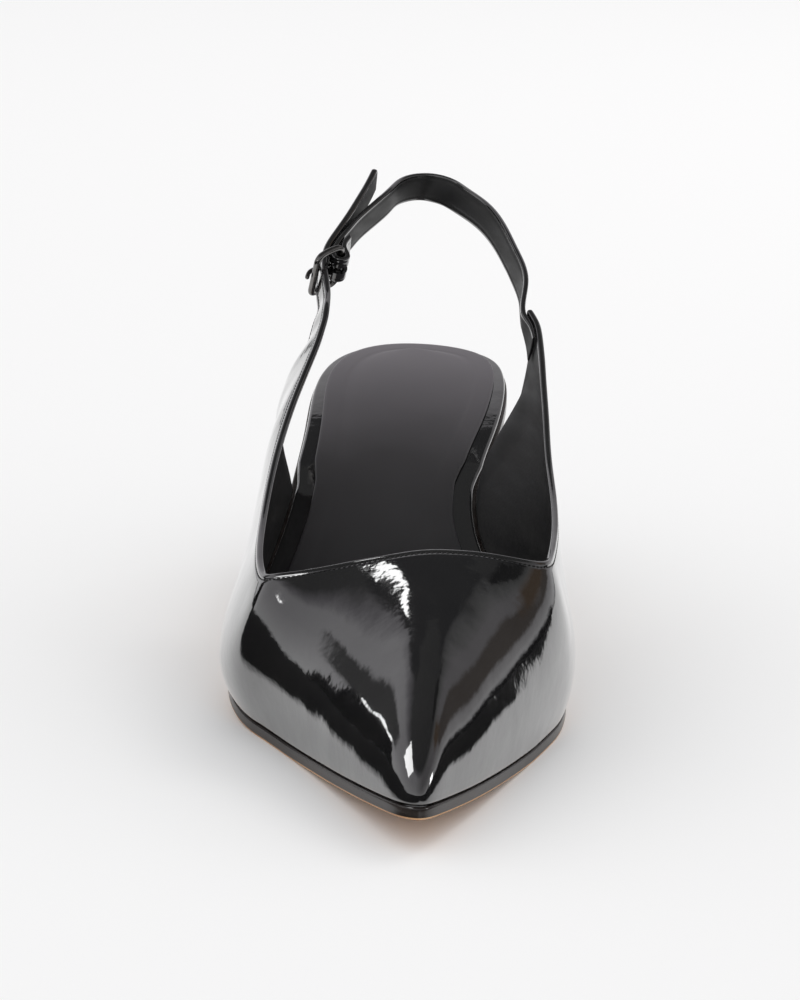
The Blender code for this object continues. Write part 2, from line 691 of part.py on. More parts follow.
def strap_grid():
    """Outer and inner grids of the sling strap, and the place of the prong's slot in them."""
    across = strap_across()
    seam = seam_rows(across)
    fold = fold_rows()
    free = path_middles(STRAP_PATH)
    middles = np.array([row[0] for row in seam] + list(free) + [row[0] for row in fold])
    first_fold = len(seam) + len(free)
    ways = unit(np.gradient(middles, axis=0))
    free_up = leaning_up(ways[len(seam):first_fold], [row[3] for row in STRAP_PATH])
    upward = np.array([row[1] for row in seam] + list(free_up) + [row[1] for row in fold])
    run = along_line(middles)
    curve = spline(run, middles)
    places = np.concatenate([np.linspace(0.0, run[first_fold], STRAP_STATIONS, endpoint=False),
                             np.linspace(run[first_fold], run[-1], FOLD_STATIONS)])
    small = 1e-5
    ways = unit(curve(places + small) - curve(places - small))
    ups = spline(run, upward)(places)
    ups = unit(ups - ways * np.sum(ups * ways, axis=1, keepdims=True))
    sag = np.array([row[2] for row in seam] + [np.zeros((len(across), 3))] * 2).reshape(len(seam) + 2, -1)
    sag = spline(run[:len(seam) + 2], sag)(np.minimum(places, run[len(seam) + 1]))
    spine = curve(places)[:, None, :] + ups[:, None, :] * across[None, :, None]
    spine = spine + sag.reshape(len(places), len(across), 3)
    offset = (unit(np.cross(ups, ways)) * 0.5 * strap_thickness(places)[:, None])[:, None, :]
    turn_starts = first_fold + len(FOLD_LEAD)
    turn_ends = turn_starts + len(FOLD_DEGREES) - 1
    slot_from = int(np.argmin(np.abs(places - (run[turn_starts] - SLOT_REACH))))
    slot_to = int(np.argmin(np.abs(places - (run[turn_ends] + SLOT_REACH))))
    return spine + offset, spine - offset, (slot_from, slot_to, 2, 3)


def round_ring(centre, side, up, width, height, count):
    """A ring of points round a centre, an ellipse across the two directions."""
    angles = np.arange(count) * 2.0 * math.pi / count
    return [centre + side * 0.5 * width * math.cos(a) + up * 0.5 * height * math.sin(a) for a in angles]


def rounded_rectangle(length, width, radius, corner_points):
    """Plan points of a rounded rectangle round its centre."""
    points = []
    for quarter in range(4):
        middle_x = (0.5 * length - radius) * (1, -1, -1, 1)[quarter]
        middle_y = (0.5 * width - radius) * (1, 1, -1, -1)[quarter]
        for step in range(corner_points):
            angle = 0.5 * math.pi * (quarter + step / (corner_points - 1))
            points.append((middle_x + radius * math.cos(angle), middle_y + radius * math.sin(angle)))
    return np.array(points)


def build_buckle_frame():
    ahead, up, outward, front, rear = buckle_axes()
    along = unit(front - rear)
    face = unit(np.cross(up, along))
    face = face * np.sign(np.dot(face, outward))
    centre = 0.5 * (front + rear)
    length = np.linalg.norm(front - rear)
    line = rounded_rectangle(length, BUCKLE_WIDTH - BUCKLE_BAR, BUCKLE_CORNER, 5)
    middles = centre + line[:, 0:1] * along + line[:, 1:2] * up
    rings = []
    count = len(middles)
    for i in range(count):
        way = unit(middles[(i + 1) % count] - middles[i - 1])
        side = unit(np.cross(face, way))
        rings.append(round_ring(middles[i], side, face, BUCKLE_BAR, BUCKLE_BAR, 8))
    vertices, faces = closed_loop_tube(rings)
    return add_object("buckle_frame", place(vertices), faces, METAL_DARK, 0.25, 1.0)


def prong_line():
    """Middle line of the prong, from behind the rear bar through the billet to the front bar."""
    ahead, up, outward, front, rear = buckle_axes()
    turn = 0.5 * BUCKLE_BAR + GAP + 0.5 * PRONG_THICK
    forward = -np.dot(front - rear, ahead)
    rise = np.dot(front - rear, outward)
    rest = rise + turn
    steps = [(ahead_share * turn, out_share * turn) for ahead_share, out_share in PRONG_TURN]
    steps += [(-back_share * forward, out_share * rest) for back_share, out_share in PRONG_RISE]
    steps.append((-forward - PRONG_PAST_BAR, PRONG_TIP_DIP * rest))
    billet, reach = billet_curve(), bar_reach()
    points = []
    for a, b in steps:
        hole = billet(reach + min(a, 0.0))[0, :3]
        points.append(rear + ahead * a + outward * b + up * np.dot(hole - rear, up))
    return np.array(points), up


def build_buckle_prong():
    line, up = prong_line()
    run = along_line(line)
    curve = spline(run, line)
    places = np.linspace(0.0, run[-1], PRONG_STATIONS)
    points = curve(places)
    small = 1e-5
    ways = unit(curve(places + small) - curve(places - small))
    rings = []
    for point, way in zip(points, ways):
        rings.append(round_ring(point, np.cross(way, up), up, PRONG_THICK, PRONG_THICK, 6))
    vertices, faces = ring_tube(rings)
    return add_object("buckle_prong", place(vertices), faces, METAL_DARK, 0.25, 1.0)


def build_sling_strap():
    outer, inner, slot = strap_grid()
    vertices, faces = grid_shell(outer, inner, slot)
    return add_object("sling_strap", place(vertices), faces, PATENT_BLACK, 0.12)


# Sole, insole and heel

def insole_inset(stations):
    """How far the insole lies inside the sole's edge: the rim's margin, or the wall's inner side."""
    blend = np.clip((np.asarray(stations) - QUARTER_END) / QUARTER_FADE, 0.0, 1.0)
    return RIM_MARGIN + (WALL + GAP - RIM_MARGIN) * blend


def build_insole():
    stations = sole_stations(SOLE_STATIONS)
    stations = stations[stations < INSOLE_END]
    vertices, faces = slab(stations, insole_inset(stations), lambda d: feather(d) + GAP,
                           lambda d: feather(d) + GAP + INSOLE_THICK, SOLE_BEVEL)
    return add_object("insole", place(vertices), faces, PATENT_BLACK, 0.15)


def build_sock():
    stations = sole_stations(SOLE_STATIONS)
    stations = stations[stations < SOCK_END]
    widen = np.clip((stations - SOCK_WIDEN_FROM) / (SOCK_WIDEN_TO - SOCK_WIDEN_FROM), 0.0, 1.0)
    inset = insole_inset(stations) + SOCK_MARGIN * (SOCK_BACK_MARGIN + (1.0 - SOCK_BACK_MARGIN) * widen)
    under = 2.0 * GAP + INSOLE_THICK
    vertices, faces = slab(stations, inset, lambda d: feather(d) + under,
                           lambda d: feather(d) + under + SOCK_THICK, SOCK_BEVEL)
    return add_object("sock", place(vertices), faces, SOCK_GREY, 0.55)


def build_outsole():
    vertices, faces = slab(sole_stations(SOLE_STATIONS), 0.0, underside, feather, SOLE_BEVEL)
    return add_object("outsole", place(vertices), faces, SOLE_BROWN, 0.4)


def tip_ring(shrink):
    """Half ring of the heel's tip from its back to the front corner, medial side."""
    turns = np.linspace(0.0, TIP_TURN, HEEL_STATIONS)
    square = 2.0 / TIP_SQUARENESS
    side = (0.5 * TOP_PIECE_WIDTH - shrink) * np.abs(np.sin(turns)) ** square
    reach = (0.5 * TOP_PIECE_LENGTH - shrink) * np.sign(np.cos(turns)) * np.abs(np.cos(turns)) ** square
    return np.column_stack([side, TOP_PIECE_MIDDLE - reach])


def heel_ring(level):
    """Lateral and medial half rings of the heel, 0 at the seat and 1 at the top piece."""
    tip = tip_ring(0.0)
    halves = []
    share = (1.0 - level) ** HEEL_CURVE
    breast_turn = math.pi - turn_of(HEEL_BREAST / LENGTH)
    turns = math.pi - np.linspace(0.0, breast_turn, HEEL_STATIONS)
    for side in (-1.0, 1.0):
        seat = inset_point(side * turns, np.full(turns.shape, HEEL_INSET))
        seat[0] = (ORIGIN_SIDE, seat[0, 1])
        low = np.column_stack([ORIGIN_SIDE + side * tip[:, 0], tip[:, 1]])
        flat = low + share * (seat - low)
        high = underside(seat[:, 1]) - GAP
        height = high * (1.0 - level) + (TOP_PIECE_THICK + GAP) * level
        halves.append(np.column_stack([flat, height]))
    return halves


def join_halves(lateral, medial):
    """One ring from the two halves: the back point once, then medial to the front, then lateral."""
    back = 0.5 * (lateral[:1] + medial[:1])
    return np.concatenate([back, medial[1:], lateral[:0:-1]])


def ring_cap(size, first, flip):
    """Faces that fill a ring of two matching halves with strips across it."""
    half = (size - 1) // 2
    faces = [(first, first + 1, first + size - 1)]
    for j in range(1, half):
        faces.append((first + j, first + j + 1, first + size - 1 - j, first + size - j))
    return [tuple(reversed(face)) for face in faces] if flip else faces


def build_heel():
    levels = np.linspace(0.0, 1.0, HEEL_LEVELS)
    rings = [join_halves(*heel_ring(level)) for level in levels]
    size = len(rings[0])
    vertices, faces = ring_tube(rings, capped=False)
    faces += ring_cap(size, 0, True)
    faces += ring_cap(size, (HEEL_LEVELS - 1) * size, False)
    return add_object("heel", place(vertices), faces, PATENT_BLACK, 0.08)


def build_top_piece():
    half = tip_ring(TOP_PIECE_INSET)
    lateral = np.column_stack([ORIGIN_SIDE - half[:, 0], half[:, 1]])
    medial = np.column_stack([ORIGIN_SIDE + half[:, 0], half[:, 1]])
    rings = []
    for height in (TOP_PIECE_THICK, 0.0):
        ring = join_halves(lateral, medial)
        rings.append(np.column_stack([ring, np.full(len(ring), height)]))
    vertices, faces = ring_tube(rings)
    return add_object("top_piece", place(vertices), faces, TIP_BLACK, 0.5)


def build_upper():
    columns = even_columns(UPPER_COLUMNS)
    hole_from, hole_to = prong_hole_columns()
    first = int(np.argmin(np.abs(columns - hole_from)))
    last = max(first + 1, int(np.argmin(np.abs(columns - hole_to))))
    columns[first], columns[last] = hole_from, hole_to
    outer, normal = upper_grid(columns, np.linspace(0.0, 1.0, UPPER_ROWS))
    inner = outer - normal * WALL
    middle = (UPPER_ROWS - 1) // 2
    vertices, faces = grid_shell(outer, inner, (first, last, middle - 1, middle + 1))
    return add_object("upper", place(vertices), faces, PATENT_BLACK, 0.08)


def prong_hole_columns():
    """Column places of the two ends of the prong's hole in the billet."""
    ahead, up, outward, front, rear = buckle_axes()
    columns = np.linspace(0.0, len(BILLET_PATH) - 1.0, FINE_STEPS)
    line = upper_grid(columns, np.array([0.5]))[0][:, 0]
    along = (line - rear) @ ahead
    forward = np.dot(rear - front, ahead)
    ends = [-share * forward for share in PRONG_HOLE]
    return [float(columns[np.argmin(np.abs(along - end))]) for end in ends]


def clear_scene():
    """Removes what the scene holds at the start."""
    for thing in list(bpy.data.objects):
        bpy.data.objects.remove(thing)


def main():
    clear_scene()
    build_outsole()
    build_heel()
    build_top_piece()
    build_insole()
    build_sock()
    build_upper()
    build_sling_strap()
    build_buckle_frame()
    build_buckle_prong()


main()
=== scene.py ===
"""Looks of the slingback pump, the right shoe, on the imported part.

The shape functions give the same surfaces as the solids, in metres and in the same frame, cut
more finely and with the folded topline, stitches, rounded rims, lining and padded sock.
"""

import math

import bpy
import mathutils
import numpy as np
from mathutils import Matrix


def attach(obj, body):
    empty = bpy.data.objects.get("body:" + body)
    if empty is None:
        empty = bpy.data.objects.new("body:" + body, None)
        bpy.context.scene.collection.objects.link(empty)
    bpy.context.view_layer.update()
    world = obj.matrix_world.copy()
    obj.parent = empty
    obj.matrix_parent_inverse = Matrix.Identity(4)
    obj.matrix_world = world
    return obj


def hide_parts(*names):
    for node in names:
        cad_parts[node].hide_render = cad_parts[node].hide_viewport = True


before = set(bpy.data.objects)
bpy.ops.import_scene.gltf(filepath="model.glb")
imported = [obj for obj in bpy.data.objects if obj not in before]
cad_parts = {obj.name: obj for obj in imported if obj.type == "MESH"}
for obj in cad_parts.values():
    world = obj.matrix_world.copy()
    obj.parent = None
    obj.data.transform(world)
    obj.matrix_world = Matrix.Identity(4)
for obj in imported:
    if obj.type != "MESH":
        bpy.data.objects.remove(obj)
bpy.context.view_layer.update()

# Driving sizes, in metres
LENGTH = 0.261
BALL_WIDTH = 0.081
SEAT_WIDTH = 0.054
SEAT_HEIGHT = 0.0535
TOE_SPRING = 0.0073
SOLE_THICK = 0.0029
INSOLE_THICK = 0.0018
SOCK_MARGIN = 0.0052
RIM_MARGIN = 0.0007
WALL = 0.0016
VAMP_RISE = 0.045
STRAP_RISE = 0.0505
GAP = 0.0003
LAYER_GAP = 0.0004

# Sling strap and billet
STRAP_WIDTH = 0.0080
STRAP_THICK = 0.0014
FOLD_LENGTH = 0.0095
STRAP_DROP = 0.0005
SLOT_REACH = 0.0037
SEAM_EDGE = 0.0004
SKIVE = 0.45
SEAM_OVERLAP = 0.011
# Where the seam's rows lie inside the quarter, as shares of SEAM_OVERLAP from its end
SEAM_SHARES = (1.0, 0.55, 0.1)
SEAM_COLUMN_STEP = 0.0046
# Where the fold's rows lie: shares of FOLD_LENGTH behind the bar, degrees round the bar, and
# for its sewn tail the share of FOLD_LENGTH with the number of layers down
FOLD_LEAD = (2.0, 1.5, 1.0, 0.5)
FOLD_DEGREES = (90, 120, 150, 180, 210, 240, 270)
TAIL_LAYERS = ((0.40, 1.45), (0.70, 1.03), (1.00, 1.00))

# Buckle
BUCKLE_LENGTH = 0.0112
BUCKLE_WIDTH = 0.0142
BUCKLE_BAR = 0.0018
BUCKLE_CORNER = 0.0018
BUCKLE_MIDDLE = 0.187
PRONG_THICK = 0.0012
PRONG_HOLE = (0.05, 0.54)
# The prong's line round its bar, as shares of the radius of its turn: ahead, outward
PRONG_TURN = ((0.35, -0.94), (0.85, -0.55), (1.00, 0.00), (0.72, 0.72), (0.00, 1.02))
# and on to the front bar, as shares of the way between the bars: back, outward
PRONG_RISE = ((0.16, 0.36), (0.32, 0.58), (0.52, 0.82), (0.78, 0.98), (1.00, 1.00))
PRONG_PAST_BAR = 0.0014
PRONG_TIP_DIP = 0.985

# Heel and its top piece
TOP_PIECE_LENGTH = 0.0170
TOP_PIECE_WIDTH = 0.0175
TOP_PIECE_THICK = 0.0050
TOP_PIECE_MIDDLE = 0.0265
TOP_PIECE_INSET = 0.0002
TIP_SQUARENESS = 2.6
TIP_TURN = math.radians(140.0)
HEEL_BREAST = 0.0520
HEEL_INSET = 0.0012
HEEL_CURVE = 2.3

# The flat tread at the ball, from the back of the seat
TREAD_BACK = 0.181
TREAD_FRONT = 0.196
SPRING_POWER = 1.4

# Between these shares of the length the plan's width goes over from the seat's to the ball's
WIDTH_FROM = 0.15
WIDTH_TO = 0.60

# Side view of the sole's underside behind the tread
SEAT_PROFILE = {
    "share of TREAD_BACK": (0.000, 0.144, 0.287, 0.436, 0.580, 0.724, 0.840, 0.928, 1.000),
    "share of SEAT_HEIGHT": (1.000, 0.934, 0.821, 0.661, 0.463, 0.266, 0.124, 0.034, 0.000),
}

# Plan of the sole. Each row: along, lateral side, medial side, as shares of the width there
SOLE_PLAN = (
    (0.000, -0.033, 0.033),
    (0.040, 0.330, 0.437),
    (0.090, 0.433, 0.504),
    (0.150, 0.481, 0.498),
    (0.220, 0.487, 0.434),
    (0.300, 0.479, 0.328),
    (0.380, 0.471, 0.283),
    (0.460, 0.485, 0.325),
    (0.540, 0.509, 0.420),
    (0.600, 0.523, 0.472),
    (0.650, 0.494, 0.470),
    (0.700, 0.420, 0.428),
    (0.760, 0.326, 0.360),
    (0.830, 0.232, 0.278),
    (0.900, 0.143, 0.194),
    (0.960, 0.064, 0.113),
    (0.985, 0.026, 0.076),
    (1.000, -0.030, 0.030),
)

# Sections of the upper, each a curve from the lower edge to the upper edge.
# low along: place of the lower edge; low out: how far it stands outside the sole's plan;
# low rise: its height over the sole's top, as a share of the collar height there;
# up along, up side, up rise: the upper edge; lean: degrees outward at the lower edge;
# tilt, head: degrees above level and degrees turned inward of the surface at the upper edge;
# low pull, up pull: how far the two ends hold their direction, as shares of the chord.
TOE_SECTION = (1.000, 0.000, 0.000, 0.724, 0.068, 1.004, 8, 17, 0, 0.17, 0.52)
LATERAL_SECTIONS = (
    (0.975, 0.000, 0.000, 0.724, 0.006, 0.993, 9, 18, 0, 0.19, 0.51),
    (0.930, 0.000, 0.000, 0.724, -0.062, 0.970, 11, 21, 3, 0.22, 0.48),
    (0.870, 0.000, 0.000, 0.724, -0.145, 0.940, 14, 26, 8, 0.27, 0.44),
    (0.800, 0.000, 0.000, 0.723, -0.228, 0.905, 18, 33, 17, 0.31, 0.40),
    (0.735, 0.000, 0.000, 0.721, -0.310, 0.872, 22, 42, 33, 0.33, 0.37),
    (0.690, 0.000, 0.000, 0.716, -0.379, 0.845, 31, 54, 54, 0.33, 0.34),
    (0.655, 0.000, 0.000, 0.697, -0.417, 0.824, 35, 65, 73, 0.33, 0.33),
    (0.615, 0.000, 0.000, 0.655, -0.435, 0.836, 35, 75, 85, 0.32, 0.28),
    (0.560, 0.000, 0.000, 0.595, -0.434, 0.806, 27, 78, 90, 0.32, 0.28),
    (0.500, 0.000, 0.000, 0.530, -0.421, 0.779, 19, 70, 90, 0.32, 0.33),
    (0.440, 0.000, 0.000, 0.470, -0.399, 0.768, 19, 60, 90, 0.34, 0.37),
    (0.385, 0.000, 0.000, 0.415, -0.367, 0.773, 22, 50, 90, 0.35, 0.40),
    (0.337, 0.000, 0.000, 0.372, -0.334, 0.788, 23, 49, 90, 0.35, 0.40),
    (0.306, 0.048, 0.142, 0.340, -0.308, 0.803, 15, 54, 90, 0.34, 0.38),
    (0.289, 0.052, 0.285, 0.318, -0.292, 0.814, 7, 59, 90, 0.34, 0.36),
    (0.277, 0.030, 0.425, 0.300, -0.282, 0.825, 0, 65, 90, 0.34, 0.35),
    (0.267, -0.013, 0.550, 0.284, -0.275, 0.836, -6, 71, 90, 0.34, 0.34),
    (0.250, -0.029, 0.640, 0.267, -0.272, 0.850, -10, 75, 90, 0.34, 0.34),
)
MEDIAL_SECTIONS = (
    (0.975, 0.000, 0.000, 0.724, 0.130, 1.004, 8, 18, 0, 0.19, 0.51),
    (0.930, 0.000, 0.000, 0.724, 0.196, 0.998, 10, 22, 4, 0.22, 0.48),
    (0.870, 0.000, 0.000, 0.7235, 0.262, 0.982, 13, 30, 11, 0.27, 0.44),
    (0.800, 0.000, 0.000, 0.721, 0.322, 0.960, 16, 41, 26, 0.31, 0.40),
    (0.735, 0.000, 0.000, 0.714, 0.370, 0.938, 18, 54, 46, 0.33, 0.37),
    (0.690, 0.000, 0.000, 0.699, 0.400, 0.922, 19, 65, 66, 0.33, 0.36),
    (0.655, 0.000, 0.000, 0.677, 0.414, 0.914, 21, 74, 80, 0.33, 0.34),
    (0.615, 0.000, 0.000, 0.644, 0.427, 0.892, 22, 80, 88, 0.33, 0.33),
    (0.560, 0.000, 0.000, 0.595, 0.439, 0.846, 22, 84, 90, 0.34, 0.33),
    (0.500, 0.000, 0.000, 0.535, 0.440, 0.797, 24, 86, 90, 0.35, 0.34),
    (0.440, 0.000, 0.000, 0.475, 0.434, 0.769, 30, 89, 90, 0.35, 0.34),
    (0.385, 0.000, 0.000, 0.420, 0.432, 0.777, 34, 91, 90, 0.35, 0.34),
    (0.337, 0.000, 0.000, 0.376, 0.429, 0.789, 33, 93, 90, 0.34, 0.34),
    (0.306, 0.034, 0.142, 0.343, 0.427, 0.802, 24, 94, 90, 0.34, 0.34),
    (0.289, 0.100, 0.285, 0.320, 0.424, 0.813, 15, 94, 90, 0.34, 0.34),
    (0.277, 0.127, 0.425, 0.302, 0.420, 0.824, 9, 93, 90, 0.34, 0.34),
    (0.268, 0.136, 0.550, 0.286, 0.411, 0.834, 5, 92, 90, 0.34, 0.34),
    (0.252, 0.124, 0.640, 0.269, 0.390, 0.846, 2, 91, 90, 0.34, 0.34),
)

# Middle line of the billet, from the lateral quarter through the buckle to its free tip.
# Each row: along, side, rise of its middle, inward lean in degrees
BILLET_PATH = (
    (0.234, -0.286, 0.756, 14),
    (0.212, -0.293, 0.780, 13),
    (0.190, -0.296, 0.805, 12),
    (0.168, -0.285, 0.833, 12),
    (0.143, -0.251, 0.866, 12),
    (0.118, -0.216, 0.902, 12),
    (0.093, -0.185, 0.942, 12),
    (0.068, -0.156, 0.984, 12),
    (0.045, -0.132, 1.030, 12),
)

# Middle line of the sling strap between the medial seam and the buckle, round the heel.
# Each row: along, side, rise of its middle, inward lean in degrees
STRAP_PATH = (
    (0.2250, 0.367, 0.812, 6),
    (0.1750, 0.337, 0.845, 9),
    (0.1250, 0.296, 0.870, 11),
    (0.0780, 0.242, 0.891, 13),
    (0.0350, 0.171, 0.903, 14),
    (0.0077, 0.106, 0.914, 14),
    (0.0023, 0.040, 0.921, 15),
    (0.0123, -0.021, 0.919, 15),
    (0.0450, -0.071, 0.909, 13),
)

# Where the insole and the sock stop under the vamp, and where the quarters leave the sole
INSOLE_END = 0.975
SOCK_END = 0.86
SOCK_WIDEN_FROM = 0.10
SOCK_WIDEN_TO = 0.38
SOCK_BACK_MARGIN = 0.55
QUARTER_END = 0.290
QUARTER_FADE = 0.035

# How finely lines are followed
FINE_STEPS = 2001
COLUMN_LINE = 0.2
HEEL_STATIONS = 48
SHARP_DEGREES = 50.0
# Small steps that give directions
SMALL_TURN = 1e-4
SMALL_STEP = 1e-3
SMALL_RUN = 1e-5


# Curves through rows of numbers

def spline(places, values, end_slope=None):
    """The natural cubic spline through rows of values; a slope may be given at its end."""
    places = np.asarray(places, float)
    values = np.asarray(values, float)
    if values.ndim == 1:
        values = values[:, None]
    count = len(places)
    step = np.diff(places)[:, None]
    rise = np.diff(values, axis=0) / step
    system = np.eye(count)
    right = np.zeros_like(values)
    for i in range(1, count - 1):
        system[i, i - 1:i + 2] = (step[i - 1, 0], 2.0 * (step[i - 1, 0] + step[i, 0]), step[i, 0])
        right[i] = 6.0 * (rise[i] - rise[i - 1])
    if end_slope is not None:
        system[-1, -2:] = (step[-1, 0], 2.0 * step[-1, 0])
        right[-1] = 6.0 * (end_slope - rise[-1])
    bend = np.linalg.solve(system, right)

    def curve(at):
        at = np.atleast_1d(np.asarray(at, float))
        i = np.clip(np.searchsorted(places, at, side="right") - 1, 0, count - 2)
        h = step[i]
        back = (places[i + 1] - at)[:, None] / h
        ahead = (at - places[i])[:, None] / h
        lift = (back ** 3 - back) * bend[i] + (ahead ** 3 - ahead) * bend[i + 1]
        return back * values[i] + ahead * values[i + 1] + lift * h ** 2 / 6.0

    return curve


def ring_spline(places, values, period):
    """The closed cubic spline through rows of values round a loop of the given period."""
    return spline(np.concatenate([places - period, places, places + period]),
                  np.concatenate([values, values, values]))


def unit(vectors):
    """Vectors brought to length one, row by row."""
    vectors = np.asarray(vectors, float)
    return vectors / np.linalg.norm(vectors, axis=-1, keepdims=True)


def squarish(turns, squareness):
    """Cosine and sine for a ring that is squarer than a circle, on its one half."""
    power = 2.0 / squareness
    return np.sign(np.cos(turns)) * np.abs(np.cos(turns)) ** power, np.abs(np.sin(turns)) ** power


# The last: side view, plan and collar height

underside_curve = spline(np.array(SEAT_PROFILE["share of TREAD_BACK"]) * TREAD_BACK,
                         np.array(SEAT_PROFILE["share of SEAT_HEIGHT"]) * SEAT_HEIGHT, end_slope=0.0)


def underside(distance):
    """Height of the outsole's underside at distances from the back of the seat."""
    distance = np.atleast_1d(np.asarray(distance, float))
    behind = underside_curve(np.minimum(distance, TREAD_BACK))[:, 0]
    ahead = np.clip((distance - TREAD_FRONT) / (LENGTH - TREAD_FRONT), 0.0, None) ** SPRING_POWER
    return np.where(distance < TREAD_BACK, behind, TOE_SPRING * ahead)


def feather(distance):
    """Height of the outsole's top, on which upper and insole stand."""
    return underside(distance) + SOLE_THICK


def width_at(along):
    """Width that the plan's shares follow: the seat's at the back, the ball's from the ball on."""
    share = np.clip((WIDTH_TO - np.asarray(along, float)) / (WIDTH_TO - WIDTH_FROM), 0.0, 1.0)
    seat = share ** 2 * (3.0 - 2.0 * share)
    return SEAT_WIDTH * seat + BALL_WIDTH * (1.0 - seat)


def turn_of(along):
    """Turn round the plan, 0 at the toe tip and pi at the heel, for a share of the length."""
    return math.pi - np.arccos(np.clip(1.0 - 2.0 * np.asarray(along, float), -1.0, 1.0))


plan_rows = np.array(SOLE_PLAN)
plan_widths = width_at(plan_rows[:, 0])
plan_turns = turn_of(plan_rows[:, 0])
ring_turns = np.concatenate([-plan_turns[:-1], plan_turns[:0:-1]])
ring_sides = np.concatenate([-plan_rows[:-1, 1] * plan_widths[:-1],
                             (plan_rows[:, 2] * plan_widths)[:0:-1]])
plan_curve = ring_spline(ring_turns, ring_sides, 2.0 * math.pi)


def plan_point(turn):
    """Plan point (side, distance) of the sole's edge: lateral turns negative, medial positive."""
    turn = np.atleast_1d(np.asarray(turn, float))
    return np.column_stack([plan_curve(turn)[:, 0], 0.5 * LENGTH * (1.0 + np.cos(turn))])


def plan_outward(turn):
    """Outward direction in plan at a turn."""
    turn = np.asarray(turn)
    along_edge = plan_point(turn + SMALL_TURN) - plan_point(turn - SMALL_TURN)
    return unit(np.column_stack([along_edge[:, 1], -along_edge[:, 0]])) * -1.0


def inset_point(turn, inset):
    """Plan point moved inward from the sole's edge."""
    return plan_point(turn) - plan_outward(turn) * np.reshape(inset, (-1, 1))


def collar(distance):
    """Height of the collar over the sole's top, from the throat back to the strap."""
    throat = TOE_SECTION[3] * LENGTH
    return VAMP_RISE + (STRAP_RISE - VAMP_RISE) * (1.0 - np.asarray(distance, float) / throat)


ORIGIN_SIDE = float(np.mean(plan_point([-turn_of(TOP_PIECE_MIDDLE / LENGTH),
                                        turn_of(TOP_PIECE_MIDDLE / LENGTH)])[:, 0]))


def place(points):
    """From (side, distance, height) to the part's own frame."""
    side, distance, height = np.moveaxis(np.asarray(points, float), -1, 0)
    return np.stack([side - ORIGIN_SIDE, TOP_PIECE_MIDDLE - distance, height], -1)


# The upper's surface

INNER_SIDE = np.array((1.0, 0.0, 0.0))
STRAIGHT_PULL = 1.0 / 3.0


def path_middles(path):
    """Middle points of a strap's path, from its rows of along, side, rise and lean."""
    along, side, rise = np.array(path).T[:3]
    distance = along * LENGTH
    return np.column_stack([side * BALL_WIDTH, distance, feather(distance) + rise * collar(distance)])


def leaning_up(ways, leans):
    """Upward directions across a strap that runs along the ways, leaning inward by the leans."""
    level = unit(np.cross(ways, (0.0, 0.0, 1.0)))
    inward = level * np.sign(INNER_SIDE @ level.T)[:, None]
    upward = np.cross(ways, inward)
    upward = unit(upward * np.sign(upward[:, 2:3]))
    leans = np.radians(leans)[:, None]
    return upward * np.cos(leans) + inward * np.sin(leans)


def billet_rows():
    """Section rows of the billet, in metres, from its middle line."""
    middles = path_middles(BILLET_PATH)
    upward = leaning_up(unit(np.gradient(middles, axis=0)), [row[3] for row in BILLET_PATH])
    half = 0.5 * STRAP_WIDTH * upward
    pulls = np.full((len(middles), 2), STRAIGHT_PULL)
    return list(np.column_stack([middles - half, middles + half, upward, upward, pulls]))


def section_row(row, side):
    """One section as metres and directions: lower point, upper point, two directions, two pulls."""
    (low_along, low_out, low_rise, up_along, up_side, up_rise,
     lean, tilt, head, low_pull, up_pull) = row
    turn = side * turn_of(low_along)
    edge = plan_point(turn)[0]
    outward = plan_outward(turn)[0]
    low_distance = low_along * LENGTH
    low = np.array([edge[0] + side * low_out * BALL_WIDTH, low_distance,
                    feather(low_distance)[0] + GAP + low_rise * collar(low_distance)])
    up_distance = up_along * LENGTH
    high = np.array([up_side * BALL_WIDTH, up_distance,
                     feather(up_distance)[0] + up_rise * collar(up_distance)])
    lean, tilt, head = (math.radians(angle) for angle in (lean, tilt, head))
    low_way = np.array([outward[0] * math.sin(lean), outward[1] * math.sin(lean), math.cos(lean)])
    high_way = np.array([-side * math.cos(tilt) * math.sin(head),
                         -math.cos(tilt) * math.cos(head), math.sin(tilt)])
    return np.concatenate([low, high, low_way, high_way, (low_pull, up_pull)])


def upper_sections():
    """All sections, from the billet's tip round the toe to the medial seam."""
    lateral = [section_row(row, -1.0) for row in LATERAL_SECTIONS]
    medial = [section_row(row, 1.0) for row in MEDIAL_SECTIONS]
    return np.array(billet_rows()[::-1] + lateral[::-1] + [section_row(TOE_SECTION, 1.0)] + medial)


SECTIONS = upper_sections()
TOE_INDEX = len(BILLET_PATH) + len(LATERAL_SECTIONS)
LASTED = sum(1 for row in LATERAL_SECTIONS if row[2] == 0.0)
section_curve = spline(np.arange(len(SECTIONS)), SECTIONS)
toe_turns = np.concatenate([-turn_of([row[0] for row in LATERAL_SECTIONS][::-1]), [0.0],
                            turn_of([row[0] for row in MEDIAL_SECTIONS])])
toe_turn_curve = spline(np.arange(len(toe_turns)) + len(BILLET_PATH), toe_turns)


def lasted_share(column):
    """1 where the lower edge lies on the sole, 0 behind the last lasted sections."""
    return (np.abs(column - TOE_INDEX) <= LASTED).astype(float)


